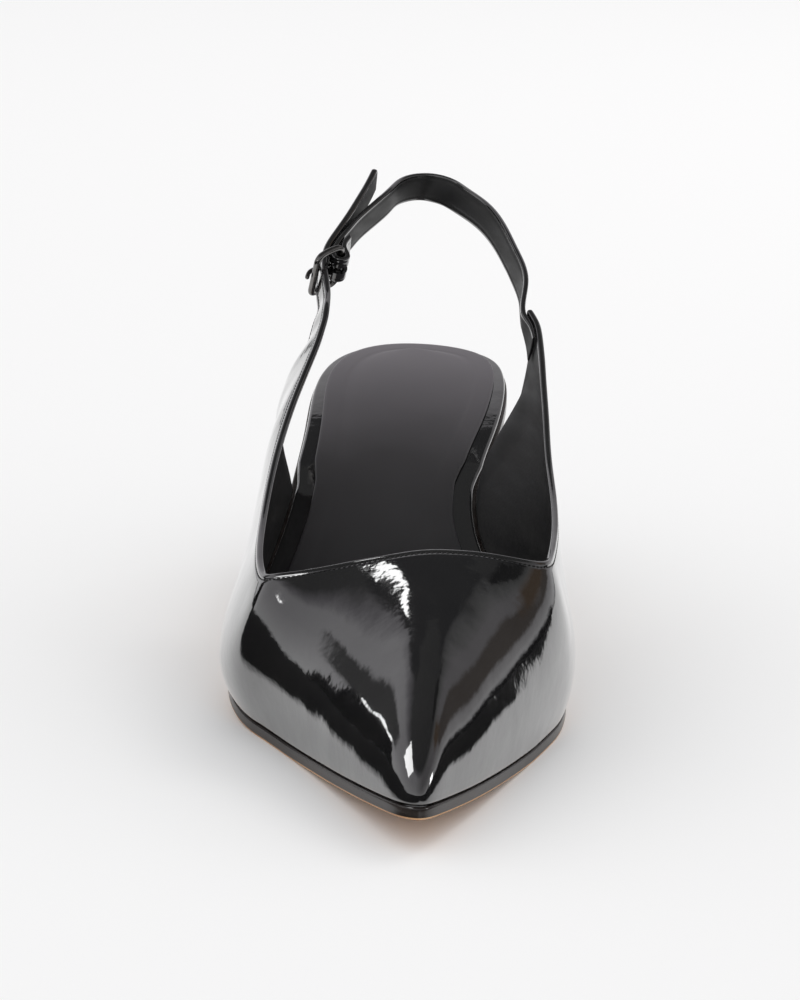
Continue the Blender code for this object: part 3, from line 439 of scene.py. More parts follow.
def upper_point(column, share):
    """Outer surface of the upper at a column place and a share of the way up its section."""
    column = np.atleast_1d(np.asarray(column, float))
    share = np.atleast_1d(np.asarray(share, float))[:, None]
    row = section_curve(column)
    low, high = row[:, 0:3].copy(), row[:, 3:6]
    on_sole = plan_point(toe_turn_curve(column)[:, 0])
    lasted = lasted_share(column)[:, None]
    on_feather = np.column_stack([on_sole, feather(on_sole[:, 1]) + GAP])
    low = low * (1.0 - lasted) + on_feather * lasted
    low_way, high_way = unit(row[:, 6:9]), unit(row[:, 9:12])
    chord = np.linalg.norm(high - low, axis=1, keepdims=True)
    first = low + low_way * row[:, 12:13] * chord
    second = high - high_way * row[:, 13:14] * chord
    rest = 1.0 - share
    return (rest ** 3 * low + 3.0 * rest ** 2 * share * first
            + 3.0 * rest * share ** 2 * second + share ** 3 * high)


def skin(columns, shares):
    """Points, outward normals and upward directions of the outer surface."""
    across = upper_point(columns + SMALL_STEP, shares) - upper_point(columns - SMALL_STEP, shares)
    upward = (upper_point(columns, np.minimum(shares + SMALL_STEP, 1.0))
              - upper_point(columns, np.maximum(shares - SMALL_STEP, 0.0)))
    return upper_point(columns, shares), unit(np.cross(upward, across)), unit(upward)


def skin_lines(columns, shares):
    """Points and outward normals along one line for each share."""
    lines = [skin(columns, np.full(columns.shape, share)) for share in shares]
    return [line[0] for line in lines], [line[1] for line in lines]


# Straps and buckle

def upper_middle(column, drop):
    """Outer point and normal of the upper a given drop below its upper edge."""
    shares = np.linspace(1.0, 0.5, FINE_STEPS)
    line = upper_point(np.full(shares.shape, column), shares)
    share = np.interp(drop, along_line(line), shares)
    point, normal, _ = skin(np.array([column]), np.array([share]))
    return point[0], normal[0]


def along_line(points):
    """Distance run along a row of points."""
    return np.concatenate([[0.0], np.cumsum(np.linalg.norm(np.diff(points, axis=0), axis=1))])


def billet_curve():
    """The billet by distance from the buckle's middle towards its tip: outer side, outward, upward."""
    columns = np.linspace(0.0, len(BILLET_PATH) - 1.0, FINE_STEPS)[::-1]
    (low, middle, high), normals = skin_lines(columns, (0.0, 0.5, 1.0))
    run = along_line(middle)
    start = np.interp(-BUCKLE_MIDDLE * LENGTH, -middle[:, 1], run)
    return spline(run - start, np.column_stack([middle, normals[1], high - low]))


def bar_reach():
    """Distance along the billet from the buckle's middle to each of its bars."""
    depth = BUCKLE_BAR + 2.0 * LAYER_GAP + GAP + STRAP_THICK + WALL
    return 0.5 * math.sqrt((BUCKLE_LENGTH - BUCKLE_BAR) ** 2 - depth ** 2)


def buckle_axes():
    """Directions towards the billet's tip, up and outward at the rear bar, and both bars' middles."""
    billet, reach = billet_curve(), bar_reach()
    at_front, at_rear = billet([-reach, reach])
    front = at_front[:3] + unit(at_front[3:6]) * (LAYER_GAP + 0.5 * BUCKLE_BAR)
    inside = WALL + LAYER_GAP + STRAP_THICK + GAP + 0.5 * BUCKLE_BAR
    rear = at_rear[:3] - unit(at_rear[3:6]) * inside
    up = unit(unit(at_front[6:9]) + unit(at_rear[6:9]))
    outward = unit(at_rear[3:6] - up * np.dot(at_rear[3:6], up))
    ahead = np.cross(up, outward)
    ahead = ahead * np.sign(np.dot(ahead, rear - front))
    front = front - up * np.dot(front - rear, up)
    return ahead, up, outward, front, rear


def fold_rows():
    """Middles and upward directions of the strap's fold: under the billet, round the bar and back."""
    ahead, up, outward, _, rear = buckle_axes()
    turn_radius = 0.5 * BUCKLE_BAR + GAP + 0.5 * STRAP_THICK
    layer_step = STRAP_THICK + GAP
    billet, reach = billet_curve(), bar_reach()

    def layer(behind, depth):
        row = billet(reach + behind)[0]
        upward = unit(row[6:9])
        drop = STRAP_DROP * (behind / FOLD_LENGTH) ** 2
        inward = unit(row[3:6]) * (WALL + LAYER_GAP + 0.5 * STRAP_THICK + depth)
        return row[:3] - inward - upward * drop, upward

    rows = [layer(share * FOLD_LENGTH, 0.0) for share in FOLD_LEAD]
    for degrees in FOLD_DEGREES:
        turn = math.radians(degrees)
        around = ahead * turn_radius * math.cos(turn) + outward * turn_radius * math.sin(turn)
        rows.append((rear + around, up))
    rows += [layer(share * FOLD_LENGTH, steps * layer_step) for share, steps in TAIL_LAYERS]
    return rows


def strap_thickness(place):
    """The strap's thickness along it: skived thin at its end inside the medial quarter."""
    full = np.clip(np.asarray(place, float) / SEAM_OVERLAP, 0.0, 1.0)
    return STRAP_THICK * (SKIVE + (1.0 - SKIVE) * full)


def seam_rows(across):
    """Middles, upward directions and sag of the strap where it lies inside the medial quarter."""
    middle_drop = 0.5 * STRAP_WIDTH + SEAM_EDGE
    rows = []
    for share in SEAM_SHARES:
        column = len(SECTIONS) - 1.0 - share * SEAM_OVERLAP / SEAM_COLUMN_STEP
        inside = WALL + LAYER_GAP + 0.5 * strap_thickness((1.0 - share) * SEAM_OVERLAP)
        laid = []
        for drop in np.concatenate([[middle_drop], middle_drop - across]):
            point, normal = upper_middle(column, drop)
            laid.append(point - normal * inside)
        laid = np.array(laid)
        upward = unit(laid[1 + np.argmax(across)] - laid[1 + np.argmin(across)])
        rows.append((laid[0], upward, laid[1:] - laid[0] - across[:, None] * upward))
    return rows


def rounded_rectangle(length, width, radius, corner_points):
    """Plan points of a rounded rectangle round its centre."""
    points = []
    for quarter in range(4):
        middle_x = (0.5 * length - radius) * (1, -1, -1, 1)[quarter]
        middle_y = (0.5 * width - radius) * (1, 1, -1, -1)[quarter]
        for step in range(corner_points):
            angle = 0.5 * math.pi * (quarter + step / (corner_points - 1))
            points.append((middle_x + radius * math.cos(angle), middle_y + radius * math.sin(angle)))
    return np.array(points)


def prong_line():
    """Middle line of the prong, from behind the rear bar through the billet to the front bar."""
    ahead, up, outward, front, rear = buckle_axes()
    turn = 0.5 * BUCKLE_BAR + GAP + 0.5 * PRONG_THICK
    forward = -np.dot(front - rear, ahead)
    rise = np.dot(front - rear, outward)
    rest = rise + turn
    steps = [(ahead_share * turn, out_share * turn) for ahead_share, out_share in PRONG_TURN]
    steps += [(-back_share * forward, out_share * rest) for back_share, out_share in PRONG_RISE]
    steps.append((-forward - PRONG_PAST_BAR, PRONG_TIP_DIP * rest))
    billet, reach = billet_curve(), bar_reach()
    points = []
    for a, b in steps:
        hole = billet(reach + min(a, 0.0))[0, :3]
        points.append(rear + ahead * a + outward * b + up * np.dot(hole - rear, up))
    return np.array(points), up


def insole_inset(stations):
    """How far the insole lies inside the sole's edge: the rim's margin, or the wall's inner side."""
    blend = np.clip((np.asarray(stations) - QUARTER_END) / QUARTER_FADE, 0.0, 1.0)
    return RIM_MARGIN + (WALL + GAP - RIM_MARGIN) * blend


def tip_ring(shrink):
    """Half ring of the heel's tip from its back to the front corner, medial side."""
    reach, side = squarish(np.linspace(0.0, TIP_TURN, HEEL_STATIONS), TIP_SQUARENESS)
    return np.column_stack([(0.5 * TOP_PIECE_WIDTH - shrink) * side,
                            TOP_PIECE_MIDDLE - (0.5 * TOP_PIECE_LENGTH - shrink) * reach])


def heel_ring(level):
    """Lateral and medial half rings of the heel, 0 at the seat and 1 at the top piece."""
    tip = tip_ring(0.0)
    halves = []
    share = (1.0 - level) ** HEEL_CURVE
    breast_turn = math.pi - turn_of(HEEL_BREAST / LENGTH)
    turns = math.pi - np.linspace(0.0, breast_turn, HEEL_STATIONS)
    for side in (-1.0, 1.0):
        seat = inset_point(side * turns, np.full(turns.shape, HEEL_INSET))
        seat[0] = (ORIGIN_SIDE, seat[0, 1])
        low = np.column_stack([ORIGIN_SIDE + side * tip[:, 0], tip[:, 1]])
        flat = low + share * (seat - low)
        high = underside(seat[:, 1]) - GAP
        height = high * (1.0 - level) + (TOP_PIECE_THICK + GAP) * level
        halves.append(np.column_stack([flat, height]))
    return halves


def prong_hole_columns():
    """Column places of the two ends of the prong's hole in the billet."""
    ahead, _, _, front, rear = buckle_axes()
    columns = np.linspace(0.0, len(BILLET_PATH) - 1.0, FINE_STEPS)
    along = (upper_point(columns, np.full(columns.shape, 0.5)) - rear) @ ahead
    forward = np.dot(rear - front, ahead)
    ends = [-share * forward for share in PRONG_HOLE]
    return [float(columns[np.argmin(np.abs(along - end))]) for end in ends]


# Building meshes

def signed_volume(vertices, faces):
    """Volume inside the faces, positive when they point outward."""
    total = 0.0
    for size in sorted({len(face) for face in faces}):
        rings = np.array([face for face in faces if len(face) == size])
        for k in range(1, size - 1):
            a, b, c = (vertices[rings[:, m]] for m in (0, k, k + 1))
            total += np.einsum("ij,ij->", a, np.cross(b, c)) / 6.0
    return total


def tube_faces(count, size, closed=False):
    """Faces between rings of points in a row, or round a closed loop of rings."""
    i = np.arange(count if closed else count - 1)[:, None]
    j = np.arange(size)[None, :]
    ahead, beside = (i + 1) % count, (j + 1) % size
    quads = np.stack([i * size + j, i * size + beside, ahead * size + beside, ahead * size + j], -1)
    return quads.reshape(-1, 4).tolist()


def end_faces(count, size):
    """One face across each end of a row of rings."""
    ring = np.arange(size)
    return [ring[::-1], ring + (count - 1) * size]


def strip_faces(line, other, turned):
    """A strip of faces between two lines of points."""
    strip = [[a, b, d, c] for a, b, c, d in zip(line, line[1:], other, other[1:])]
    return [face[::-1] for face in strip] if turned else strip


def slotted_tube(count, size, edge_points, slot):
    """Faces of a flat tube with a slot through it, and 1 for each face on its inner side.

    Each ring has size outer points, the edge points, size inner points and the edge points again.
    The slot's four numbers are its first and last ring and its first and last row.
    """
    ring = 2 * (size + edge_points)
    across = 2 * size + edge_points - 1
    first, last, low, high = slot
    faces, inner = [], []
    for index, face in enumerate(tube_faces(count, ring)):
        i, j = divmod(index, ring)
        in_slot = first <= i < last and (low <= j < high or across - high <= j < across - low)
        if not in_slot:
            faces.append(face)
            inner.append(int(size + edge_points <= j < across))
    along = np.arange(first, last + 1) * ring
    rows = np.arange(low, high + 1)
    for j, turned in ((low, False), (high, True)):
        faces += strip_faces(along + j, along + across - j, turned)
    for i, turned in ((first, True), (last, False)):
        faces += strip_faces(i * ring + rows, i * ring + across - rows, turned)
    return faces, inner


def circle(middle, radius, side, rise, spokes):
    """A ring of points round a middle, in the plane of two directions."""
    angles = np.arange(spokes)[:, None] * 2.0 * math.pi / spokes
    return middle + radius * (side * np.cos(angles) + rise * np.sin(angles))


def add_piece(name, points, faces, materials, node=None, choice=None):
    """A smooth piece on the part's one body, its faces outward; choice is each face's material."""
    vertices = place(np.asarray(points, float).reshape(-1, 3))
    faces = [[int(v) for v in face] for face in faces]
    if signed_volume(vertices, faces) < 0.0:
        faces = [face[::-1] for face in faces]
    mesh = bpy.data.meshes.new(name)
    mesh.from_pydata(vertices.tolist(), [], faces)
    mesh.update()
    mesh.shade_smooth()
    mesh.set_sharp_from_angle(angle=math.radians(SHARP_DEGREES))
    for material in materials:
        mesh.materials.append(material)
    if choice is not None:
        chosen = np.zeros(len(faces), np.int32)
        chosen[:len(choice)] = choice
        mesh.polygons.foreach_set("material_index", chosen)
    piece = bpy.data.objects.new(name, mesh)
    bpy.context.scene.collection.objects.link(piece)
    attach(piece, "root")
    if node:
        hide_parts(node)
    return piece


# Materials. Fields: noise scale, detail and, where it isn't even, stretch. Colours and roughness
# each name their field; bumps give field, height in metres and strength

# Range of most noise fields
FIELD_LOW = 0.3
FIELD_HIGH = 0.7
PATENT_COAT = {"IOR": 1.9, "Coat Weight": 1.0, "Coat IOR": 1.6, "Coat Roughness": 0.03,
               "Specular IOR Level": 0.5}


def patent_leather(depth):
    """Black patent leather: a clear glossy coat over black, with swells of the given depth."""
    return {
        "values": PATENT_COAT,
        "fields": {"swell": (75.0, 1.0), "peel": (420.0, 2.0), "dust": (2600.0, 2.0)},
        "colours": ("swell", (0.3, (0.0045, 0.0045, 0.0050)), (0.7, (0.0080, 0.0078, 0.0080))),
        "roughness": ("dust", 0.05, 0.10),
        "bumps": (("swell", 0.0008 * depth, 0.35), ("peel", 0.00010 * depth, 0.35)),
    }


MATERIALS = {
    "patent_leather": patent_leather(1.0),
    "strap_patent": patent_leather(0.6),
    # Matte black lining with a fine grain and faint rubbed marks
    "lining_leather": {
        "values": {"Specular IOR Level": 0.45},
        "fields": {"grain": (1500.0, 3.0), "rub": (160.0, 4.0, (1.0, 0.25, 1.6))},
        "colours": ("rub", (0.40, (0.0100, 0.0100, 0.0105)), (0.62, (0.0160, 0.0155, 0.0155)),
                    (0.75, (0.0300, 0.0290, 0.0285))),
        "roughness": ("rub", 0.42, 0.60),
        "bumps": (("rub", 0.0003, 0.20), ("grain", 0.00008, 0.45)),
    },
    # Satin sock lining with painted shade: violet grey at the heel and darker towards the toe, where
    # the vamp covers it. The slope gives the painted shade's ends in metres along the shoe and how far
    # the clouds sway it
    "sock_leather": {
        "values": {"Specular IOR Level": 0.5},
        "fields": {"grain": (1700.0, 2.0), "cloud": (60.0, 1.5)},
        "slope": (-0.115, 0.030, 0.06),
        "colours": ("slope", (0.0, (0.012, 0.012, 0.013)), (0.45, (0.042, 0.040, 0.043)),
                    (0.80, (0.100, 0.092, 0.102)), (1.0, (0.135, 0.123, 0.137))),
        "roughness": ("cloud", 0.285, 0.36, 0.0, 1.0),
        "bumps": (("grain", 0.00004, 0.30),),
    },
    # Dark brown painted sole edge, half glossy, with faint strokes along it
    "sole_edge_paint": {
        "fields": {"strokes": (300.0, 3.0, (0.15, 0.15, 3.0))},
        "colours": ("strokes", (0.3, (0.014, 0.011, 0.010)), (0.7, (0.030, 0.024, 0.021))),
        "roughness": ("strokes", 0.16, 0.26),
        "bumps": (("strokes", 0.0001, 0.30),),
    },
    # Tan leather underside with pores and light wear marks
    "sole_leather": {
        "fields": {"marks": (140.0, 6.0, (1.0, 0.35, 1.0)), "pores": (1800.0, 3.0)},
        "colours": ("marks", (0.30, (0.40, 0.21, 0.095)), (0.55, (0.52, 0.30, 0.15)),
                    (0.75, (0.60, 0.38, 0.21))),
        "roughness": ("marks", 0.38, 0.55),
        "bumps": (("marks", 0.0001, 0.25), ("pores", 0.00005, 0.40)),
    },
    # Dark plated metal with faint clouds and hairline marks
    "dark_metal": {
        "values": {"Metallic": 1.0},
        "fields": {"cloud": (350.0, 2.0), "hair": (2500.0, 2.0, (1.0, 1.0, 0.08))},
        "colours": ("cloud", (0.3, (0.16, 0.155, 0.15)), (0.7, (0.24, 0.235, 0.23))),
        "roughness": ("cloud", 0.14, 0.24),
        "bumps": (("hair", 0.00002, 0.25),),
    },
    # Waxed black thread
    "black_thread": {
        "fields": {"twist": (3500.0, 1.0)},
        "colours": ("twist", (0.3, (0.006, 0.006, 0.006)), (0.7, (0.020, 0.019, 0.019))),
        "roughness": ("twist", 0.40, 0.60),
        "bumps": (("twist", 0.00006, 0.6),),
    },
    # Black moulded tip of the heel, finely pitted
    "tip_rubber": {
        "fields": {"pits": (1400.0, 3.0), "worn": (220.0, 3.0)},
        "colours": ("worn", (0.3, (0.010, 0.010, 0.010)), (0.7, (0.024, 0.023, 0.022))),
        "roughness": ("worn", 0.45, 0.65),
        "bumps": (("pits", 0.00008, 0.45),),
    },
}


def add_node(tree, kind, inputs, **settings):
    """The outputs of a new shader node, whose inputs are plain values or sockets."""
    node = tree.nodes.new("ShaderNode" + kind)
    for key, value in settings.items():
        setattr(node, key, value)
    for key, value in inputs.items():
        if isinstance(value, bpy.types.NodeSocket):
            tree.links.new(value, node.inputs[key])
        else:
            node.inputs[key].default_value = value
    return node.outputs


def work_out(tree, operation, *values):
    """A shader number from plain numbers and sockets."""
    return add_node(tree, "Math", dict(enumerate(values)), operation=operation)["Value"]


def noise(tree, place_of, scale, detail, stretch=(1.0, 1.0, 1.0)):
    """A noise field in metres, finer along an axis with a larger stretch."""
    stretched = add_node(tree, "Mapping", {"Vector": place_of, "Scale": stretch})["Vector"]
    return add_node(tree, "TexNoise", {"Vector": stretched, "Scale": scale, "Detail": detail})["Fac"]


def spread(tree, field, low, high, low_at=FIELD_LOW, high_at=FIELD_HIGH):
    """The field carried from its own range to low..high."""
    ends = {"From Min": low_at, "From Max": high_at, "To Min": low, "To Max": high}
    return add_node(tree, "MapRange", {"Value": field, **ends})["Result"]


def tint(tree, field, stops):
    """Colours along the field: rows of place and colour."""
    colour = add_node(tree, "ValToRGB", {"Fac": field})["Color"]
    elements = colour.node.color_ramp.elements
    while len(elements) < len(stops):
        elements.new(0.5)
    for element, (at, shade) in zip(elements, stops):
        element.position = at
        element.color = (*shade, 1.0)
    return colour


def painted_shade_field(tree, place_of, cloud, low_at, high_at, sway):
    """A field that runs from 0 to 1 along the shoe, swayed a little by clouds: the sock's painted
    shade, darker towards the toe.
    """
    distance = add_node(tree, "SeparateXYZ", {"Vector": place_of})["Y"]
    return work_out(tree, "ADD", spread(tree, distance, 0.0, 1.0, low_at, high_at),
                    spread(tree, cloud, -sway, sway, 0.0, 1.0))


def add_bumps(tree, surface, fields, rows):
    """Bumps on top of each other on the surface and on its coat."""
    below = {}
    for key, height, strength in rows:
        inputs = {"Height": fields[key], "Distance": height, "Strength": strength, **below}
        below = {"Normal": add_node(tree, "Bump", inputs)["Normal"]}
    tree.links.new(below["Normal"], surface.inputs["Normal"])
    if surface.inputs["Coat Weight"].default_value > 0.0:
        tree.links.new(below["Normal"], surface.inputs["Coat Normal"])


def new_material(name, values):
    """A material and its tree, surface and object-space coordinates."""
    material = bpy.data.materials.new(name)
    material.use_nodes = True
    tree = material.node_tree
    surface = tree.nodes["Principled BSDF"]
    for key, value in values.items():
        surface.inputs[key].default_value = value
    return material, tree, surface, add_node(tree, "TexCoord", {})["Object"]


def make_material(name):
    """The named material from its row of the table."""
    row = MATERIALS[name]
    material, tree, surface, place_of = new_material(name, row.get("values", {}))
    fields = {key: noise(tree, place_of, *numbers) for key, numbers in row["fields"].items()}
    # The slope is painted shade along the sock, darker towards the toe under the vamp
    if "slope" in row:
        fields["slope"] = painted_shade_field(tree, place_of, fields["cloud"], *row["slope"])
    key, *stops = row["colours"]
    tree.links.new(tint(tree, fields[key], stops), surface.inputs["Base Color"])
    key, *span = row["roughness"]
    tree.links.new(spread(tree, fields[key], *span), surface.inputs["Roughness"])
    add_bumps(tree, surface, fields, row["bumps"])
    return material


# The upper, one shell with a folded rim, its lining and its stitches

SHELL_STEP = 0.00105
SHELL_ROWS = 30
SHARE_STEPS = 160
RIM_ROUND = 0.5 * WALL
RIM_POINTS = 7
RIM_SQUARENESS = 2.4
# Lower and upper edge of the prong's hole, as shares up the section
HOLE_ROWS = (0.4, 0.6)
END_STEPS = (0.00002, 0.0001, 0.00025, 0.00045, 0.0007, 0.0010, 0.0014, 0.0019)
# How thin a closed end gets: the part of its thickness, squared, that goes
END_THINNING = 0.96
TIP_CORNER = 0.0016
# Relief of a folded edge: distance from the edge, height, both in metres
FOLD_RELIEF = {
    "from the edge": (0.0, 0.00075, 0.00130, 0.00165, 0.00185, 0.00215, 0.0027),
    "height": (0.00008, 0.00010, 0.00007, -0.00010, -0.00010, -0.00001, 0.0),
}
EDGE_ROWS = (0.0011, 0.0013, 0.00148, 0.00165, 0.00185, 0.0020, 0.00225, 0.0027)
STITCH_DROP = 0.00175
STITCH_PITCH = 0.0012
STITCH_LENGTH = 0.00082
STITCH_ROUND = 0.00015
STITCH_SINK = 0.00003
STITCH_DIP = 0.9
STITCH_SPOKES = 6
STITCH_WAY_REACH = 0.3
STITCH_EVERY = 3
STITCH_FREE_ENDS = (0.0022, 0.0018)
# A stitch's outline: places along it and its roundness there, as shares
STITCH_PROFILE = ((-0.50, 0.25), (-0.44, 0.75), (-0.25, 1.0), (0.25, 1.0), (0.44, 0.75), (0.50, 0.25))


def share_table(columns):
    """Shares up each section and the distances run to them."""
    shares = np.linspace(0.0, 1.0, SHARE_STEPS)
    grid, share_grid = np.meshgrid(columns, shares, indexing="ij")
    points = upper_point(grid.ravel(), share_grid.ravel()).reshape(len(columns), SHARE_STEPS, 3)
    run = np.cumsum(np.linalg.norm(np.diff(points, axis=1), axis=2), axis=1)
    return shares, np.concatenate([np.zeros((len(columns), 1)), run], axis=1)


def free_edge(columns):
    """1 where the lower edge is a free folded edge, 0 where it is lasted to the sole."""
    return np.clip(np.abs(columns - TOE_INDEX) - LASTED, 0.0, 1.0)


def column_run():
    """Fine column places and the distance run to them along a line low on the surface."""
    fine = np.linspace(0.0, len(SECTIONS) - 1.0, FINE_STEPS)
    return fine, along_line(upper_point(fine, np.full(fine.shape, COLUMN_LINE)))


def shell_columns():
    """Column places of the shell, their distance from its nearer end and from its tip."""
    fine, run = column_run()
    ends = np.array(END_STEPS)
    between = np.arange(ends[-1] + SHELL_STEP, run[-1] - ends[-1] - 0.5 * SHELL_STEP, SHELL_STEP)
    places = np.concatenate([ends, between, (run[-1] - ends)[::-1]])
    return np.interp(places, run, fine), np.minimum(places, run[-1] - places), places


def shell_rows(total, margin):
    """Distances up the section to each row of points, for every column."""
    edge = np.array(EDGE_ROWS)
    low = margin + np.concatenate([[RIM_ROUND], edge])
    high = total - margin - np.concatenate([edge[::-1], [RIM_ROUND]])
    share = np.linspace(0.0, 1.0, SHELL_ROWS)[1:-1]
    return np.concatenate([low, low[:, -1:] * (1.0 - share) + high[:, :1] * share, high], axis=1)


def end_thinning(distance, half):
    """How thick a rounded end is at a distance from it, as a share of its full thickness."""
    return np.sqrt(1.0 - END_THINNING * np.clip(1.0 - distance / half, 0.0, 1.0) ** 2)


def rounded_edge(points, squareness):
    """Half a squarish ring: shares through the thickness and out of the edge."""
    turns = np.linspace(0.0, math.pi, points + 2)[1:-1]
    return squarish(turns, squareness)


def shell_rings(skin_rows, relief, columns_thin):
    """Rings of the shell round both faces and both rims, thinned towards its two ends."""
    points, normals, upward = skin_rows
    outer = points + normals * relief[..., None]
    side, reach = rounded_edge(RIM_POINTS, RIM_SQUARENESS)

    def rim(k, way):
        heart = points[:, k] - normals[:, k] * RIM_ROUND
        swell = np.where(side > 0.0, relief[:, k:k + 1] * side, 0.0)
        return (heart[:, None] + normals[:, k, None] * (RIM_ROUND * side + swell)[..., None]
                + way * upward[:, k, None] * (RIM_ROUND * reach)[None, :, None])

    def round_the_ring(values):
        top, low = (np.repeat(values[:, k:k + 1], RIM_POINTS, 1) for k in (values.shape[1] - 1, 0))
        return np.concatenate([values, top, values[:, ::-1], low], axis=1)

    rings = np.concatenate([outer, rim(points.shape[1] - 1, 1.0), (points - normals * WALL)[:, ::-1],
                            rim(0, -1.0)[:, ::-1]], axis=1)
    heart = round_the_ring(points) - round_the_ring(normals) * RIM_ROUND
    return heart + (rings - heart) * columns_thin[:, None, None]


def closed_end(start, size, turned):
    """Faces that close the shell's end whose ring starts at this point."""
    ring = 2 * (size + RIM_POINTS)
    outer = np.arange(size)
    faces = strip_faces(start + outer, start + 2 * size + RIM_POINTS - 1 - outer, turned)
    half = RIM_POINTS // 2
    for corner in (size - 1, 2 * size + RIM_POINTS - 1):
        line = start + (corner + np.arange(RIM_POINTS + 2)) % ring
        faces += strip_faces(line[:half + 1], line[::-1][:half + 1], turned)
        tip = line[half:half + 3]
        faces.append(tip[::-1] if turned else tip)
    return faces


def build_upper_shell(patent, lining):
    """The vamp, both quarters and the billet, with the prong's hole."""
    columns, end_distance, places = shell_columns()
    shares, run = share_table(columns)
    corner = np.clip(1.0 - places / TIP_CORNER, 0.0, 1.0)
    margin = (TIP_CORNER * (1.0 - np.sqrt(1.0 - corner ** 2)))[:, None]
    total = run[:, -1:]
    rows = shell_rows(total, margin)
    count, size = rows.shape
    row_share = np.array([np.interp(row, line, shares) for row, line in zip(rows, run)])
    skin_rows = [values.reshape(count, size, 3)
                 for values in skin(np.repeat(columns, size), row_share.ravel())]
    relief = np.interp(total - margin - rows, *FOLD_RELIEF.values())
    relief = relief + np.interp(rows - margin, *FOLD_RELIEF.values()) * free_edge(columns)[:, None]
    rings = shell_rings(skin_rows, relief, end_thinning(end_distance, RIM_ROUND))
    first, last = (int(np.argmin(np.abs(columns - at))) for at in prong_hole_columns())
    low, high = (int(np.argmin(np.abs(rows[first] / total[first] - at))) for at in HOLE_ROWS)
    faces, inner = slotted_tube(count, size, RIM_POINTS, (first, last, low, high))
    faces += closed_end(0, size, False) + closed_end((count - 1) * rings.shape[1], size, True)
    add_piece("upper_shell", rings, faces, [patent, lining], "upper", inner)


def stitch_faces(start):
    """Faces of one stitch whose points begin at this one."""
    size = (len(STITCH_PROFILE), STITCH_SPOKES)
    return [[start + v for v in face] for face in tube_faces(*size) + end_faces(*size)]


def add_stitches(name, lines, material):
    """Stitches laid along lines of points with normals."""
    vertices, faces = [], []
    for points, normals in lines:
        sunk = points - normals * STITCH_SINK
        run = along_line(sunk)
        curve = spline(run, np.column_stack([sunk, normals]))
        places = np.arange(0.5 * STITCH_PITCH, run[-1] - 0.5 * STITCH_PITCH, STITCH_PITCH)
        at = curve(places)
        reach = STITCH_WAY_REACH * STITCH_LENGTH
        ways = unit(curve(places + reach)[:, :3] - curve(places - reach)[:, :3])
        facing = unit(at[:, 3:6])
        for middle, way, out, side in zip(at[:, :3], ways, facing, unit(np.cross(ways, facing))):
            faces += stitch_faces(len(vertices))
            for step, swell in STITCH_PROFILE:
                dip = out * STITCH_ROUND * STITCH_DIP * (2.0 * step) ** 4
                centre = middle + way * step * STITCH_LENGTH - dip
                vertices.extend(circle(centre, swell * STITCH_ROUND, side, out, STITCH_SPOKES))
    add_piece(name, vertices, faces, [material])


def edge_line(columns, top):
    """Points and normals of the seam line along the upper's upper or lower edge."""
    shares, run = share_table(columns)
    wanted = run[:, -1] - STITCH_DROP if top else np.full(len(columns), STITCH_DROP)
    share = np.array([np.interp(at, line, shares) for at, line in zip(wanted, run)])
    return skin(columns, share)[:2]


def build_upper_stitches(material):
    """Stitches along the topline and along both free lower edges."""
    fine, run = column_run()
    from_start, from_end = STITCH_FREE_ENDS
    fine = fine[(run > from_start) & (run < run[-1] - from_end)][::STITCH_EVERY]
    free = free_edge(fine) > 0.5
    lateral, medial = fine[free & (fine < TOE_INDEX)], fine[free & (fine > TOE_INDEX)]
    lines = [edge_line(fine, True), edge_line(lateral, False), edge_line(medial, False)]
    add_stitches("upper_stitches", lines, material)


# The sling strap

# The first of the strap's rows in its fold
FIRST_FOLD = len(SEAM_SHARES) + len(STRAP_PATH)
STRAP_STATIONS = 330
STRAP_SQUARENESS = 3.0
STRAP_EDGE_POINTS = 7
STRAP_END_STEPS = END_STEPS[:6]
STRAP_FOLD_STEP = 0.0003
# Steps between the close stations of both ends and the next ones
STRAP_END_GAPS = (0.0004, 0.0002)
STRAP_SEAM_INSET = 0.0013
STRAP_SEAM_CLEAR = 0.002
# Which point of the profile's flat face, counted from its edge, lies in the seam's groove
SEAM_ROW = 2
SEAM_GROOVE = 0.0002
SEAM_DEPTH = 0.88


def strap_profile():
    """The strap's section: places across it, shares of half its thickness, points on one face."""
    half, corner = 0.5 * STRAP_WIDTH, 0.5 * STRAP_THICK
    slot = 0.5 * PRONG_THICK + LAYER_GAP
    seam = half - STRAP_SEAM_INSET
    side = [slot, 0.5 * (seam + slot), seam - SEAM_GROOVE, seam, seam + SEAM_GROOVE, half - corner]
    flat = np.array([-value for value in side[::-1]] + side)
    groove = np.where(np.abs(flat) == seam, SEAM_DEPTH, 1.0)
    through, reach = rounded_edge(STRAP_EDGE_POINTS, STRAP_SQUARENESS)
    reach = half - corner + corner * reach
    across = np.concatenate([flat, reach, flat[::-1], -reach])
    depth = np.concatenate([groove, through, -groove[::-1], -through])
    return across, depth, len(flat)


def strap_places(length, fold_from):
    """Stations along the strap: close at both ends, even on its free part, close in the fold."""
    ends = np.array(STRAP_END_STEPS)
    start_gap, end_gap = STRAP_END_GAPS
    free = np.linspace(ends[-1] + start_gap, fold_from, STRAP_STATIONS)
    fold = np.arange(fold_from + STRAP_FOLD_STEP, length - ends[-1] - end_gap, STRAP_FOLD_STEP)
    return np.concatenate([ends, free, fold, (length - ends)[::-1]])


def strap_rows(across):
    """Middles, upward directions and sag of the strap's rows: seam, free part and fold."""
    seam, fold, free = seam_rows(across), fold_rows(), path_middles(STRAP_PATH)
    middles = np.array([row[0] for row in seam] + list(free) + [row[0] for row in fold])
    ways = unit(np.gradient(middles, axis=0))[len(seam):FIRST_FOLD]
    free_up = leaning_up(ways, [row[3] for row in STRAP_PATH])
    upward = np.array([row[1] for row in seam] + list(free_up) + [row[1] for row in fold])
    no_sag = np.zeros((len(across), 3))
    return middles, upward, np.array([row[2] for row in seam] + [no_sag, no_sag])


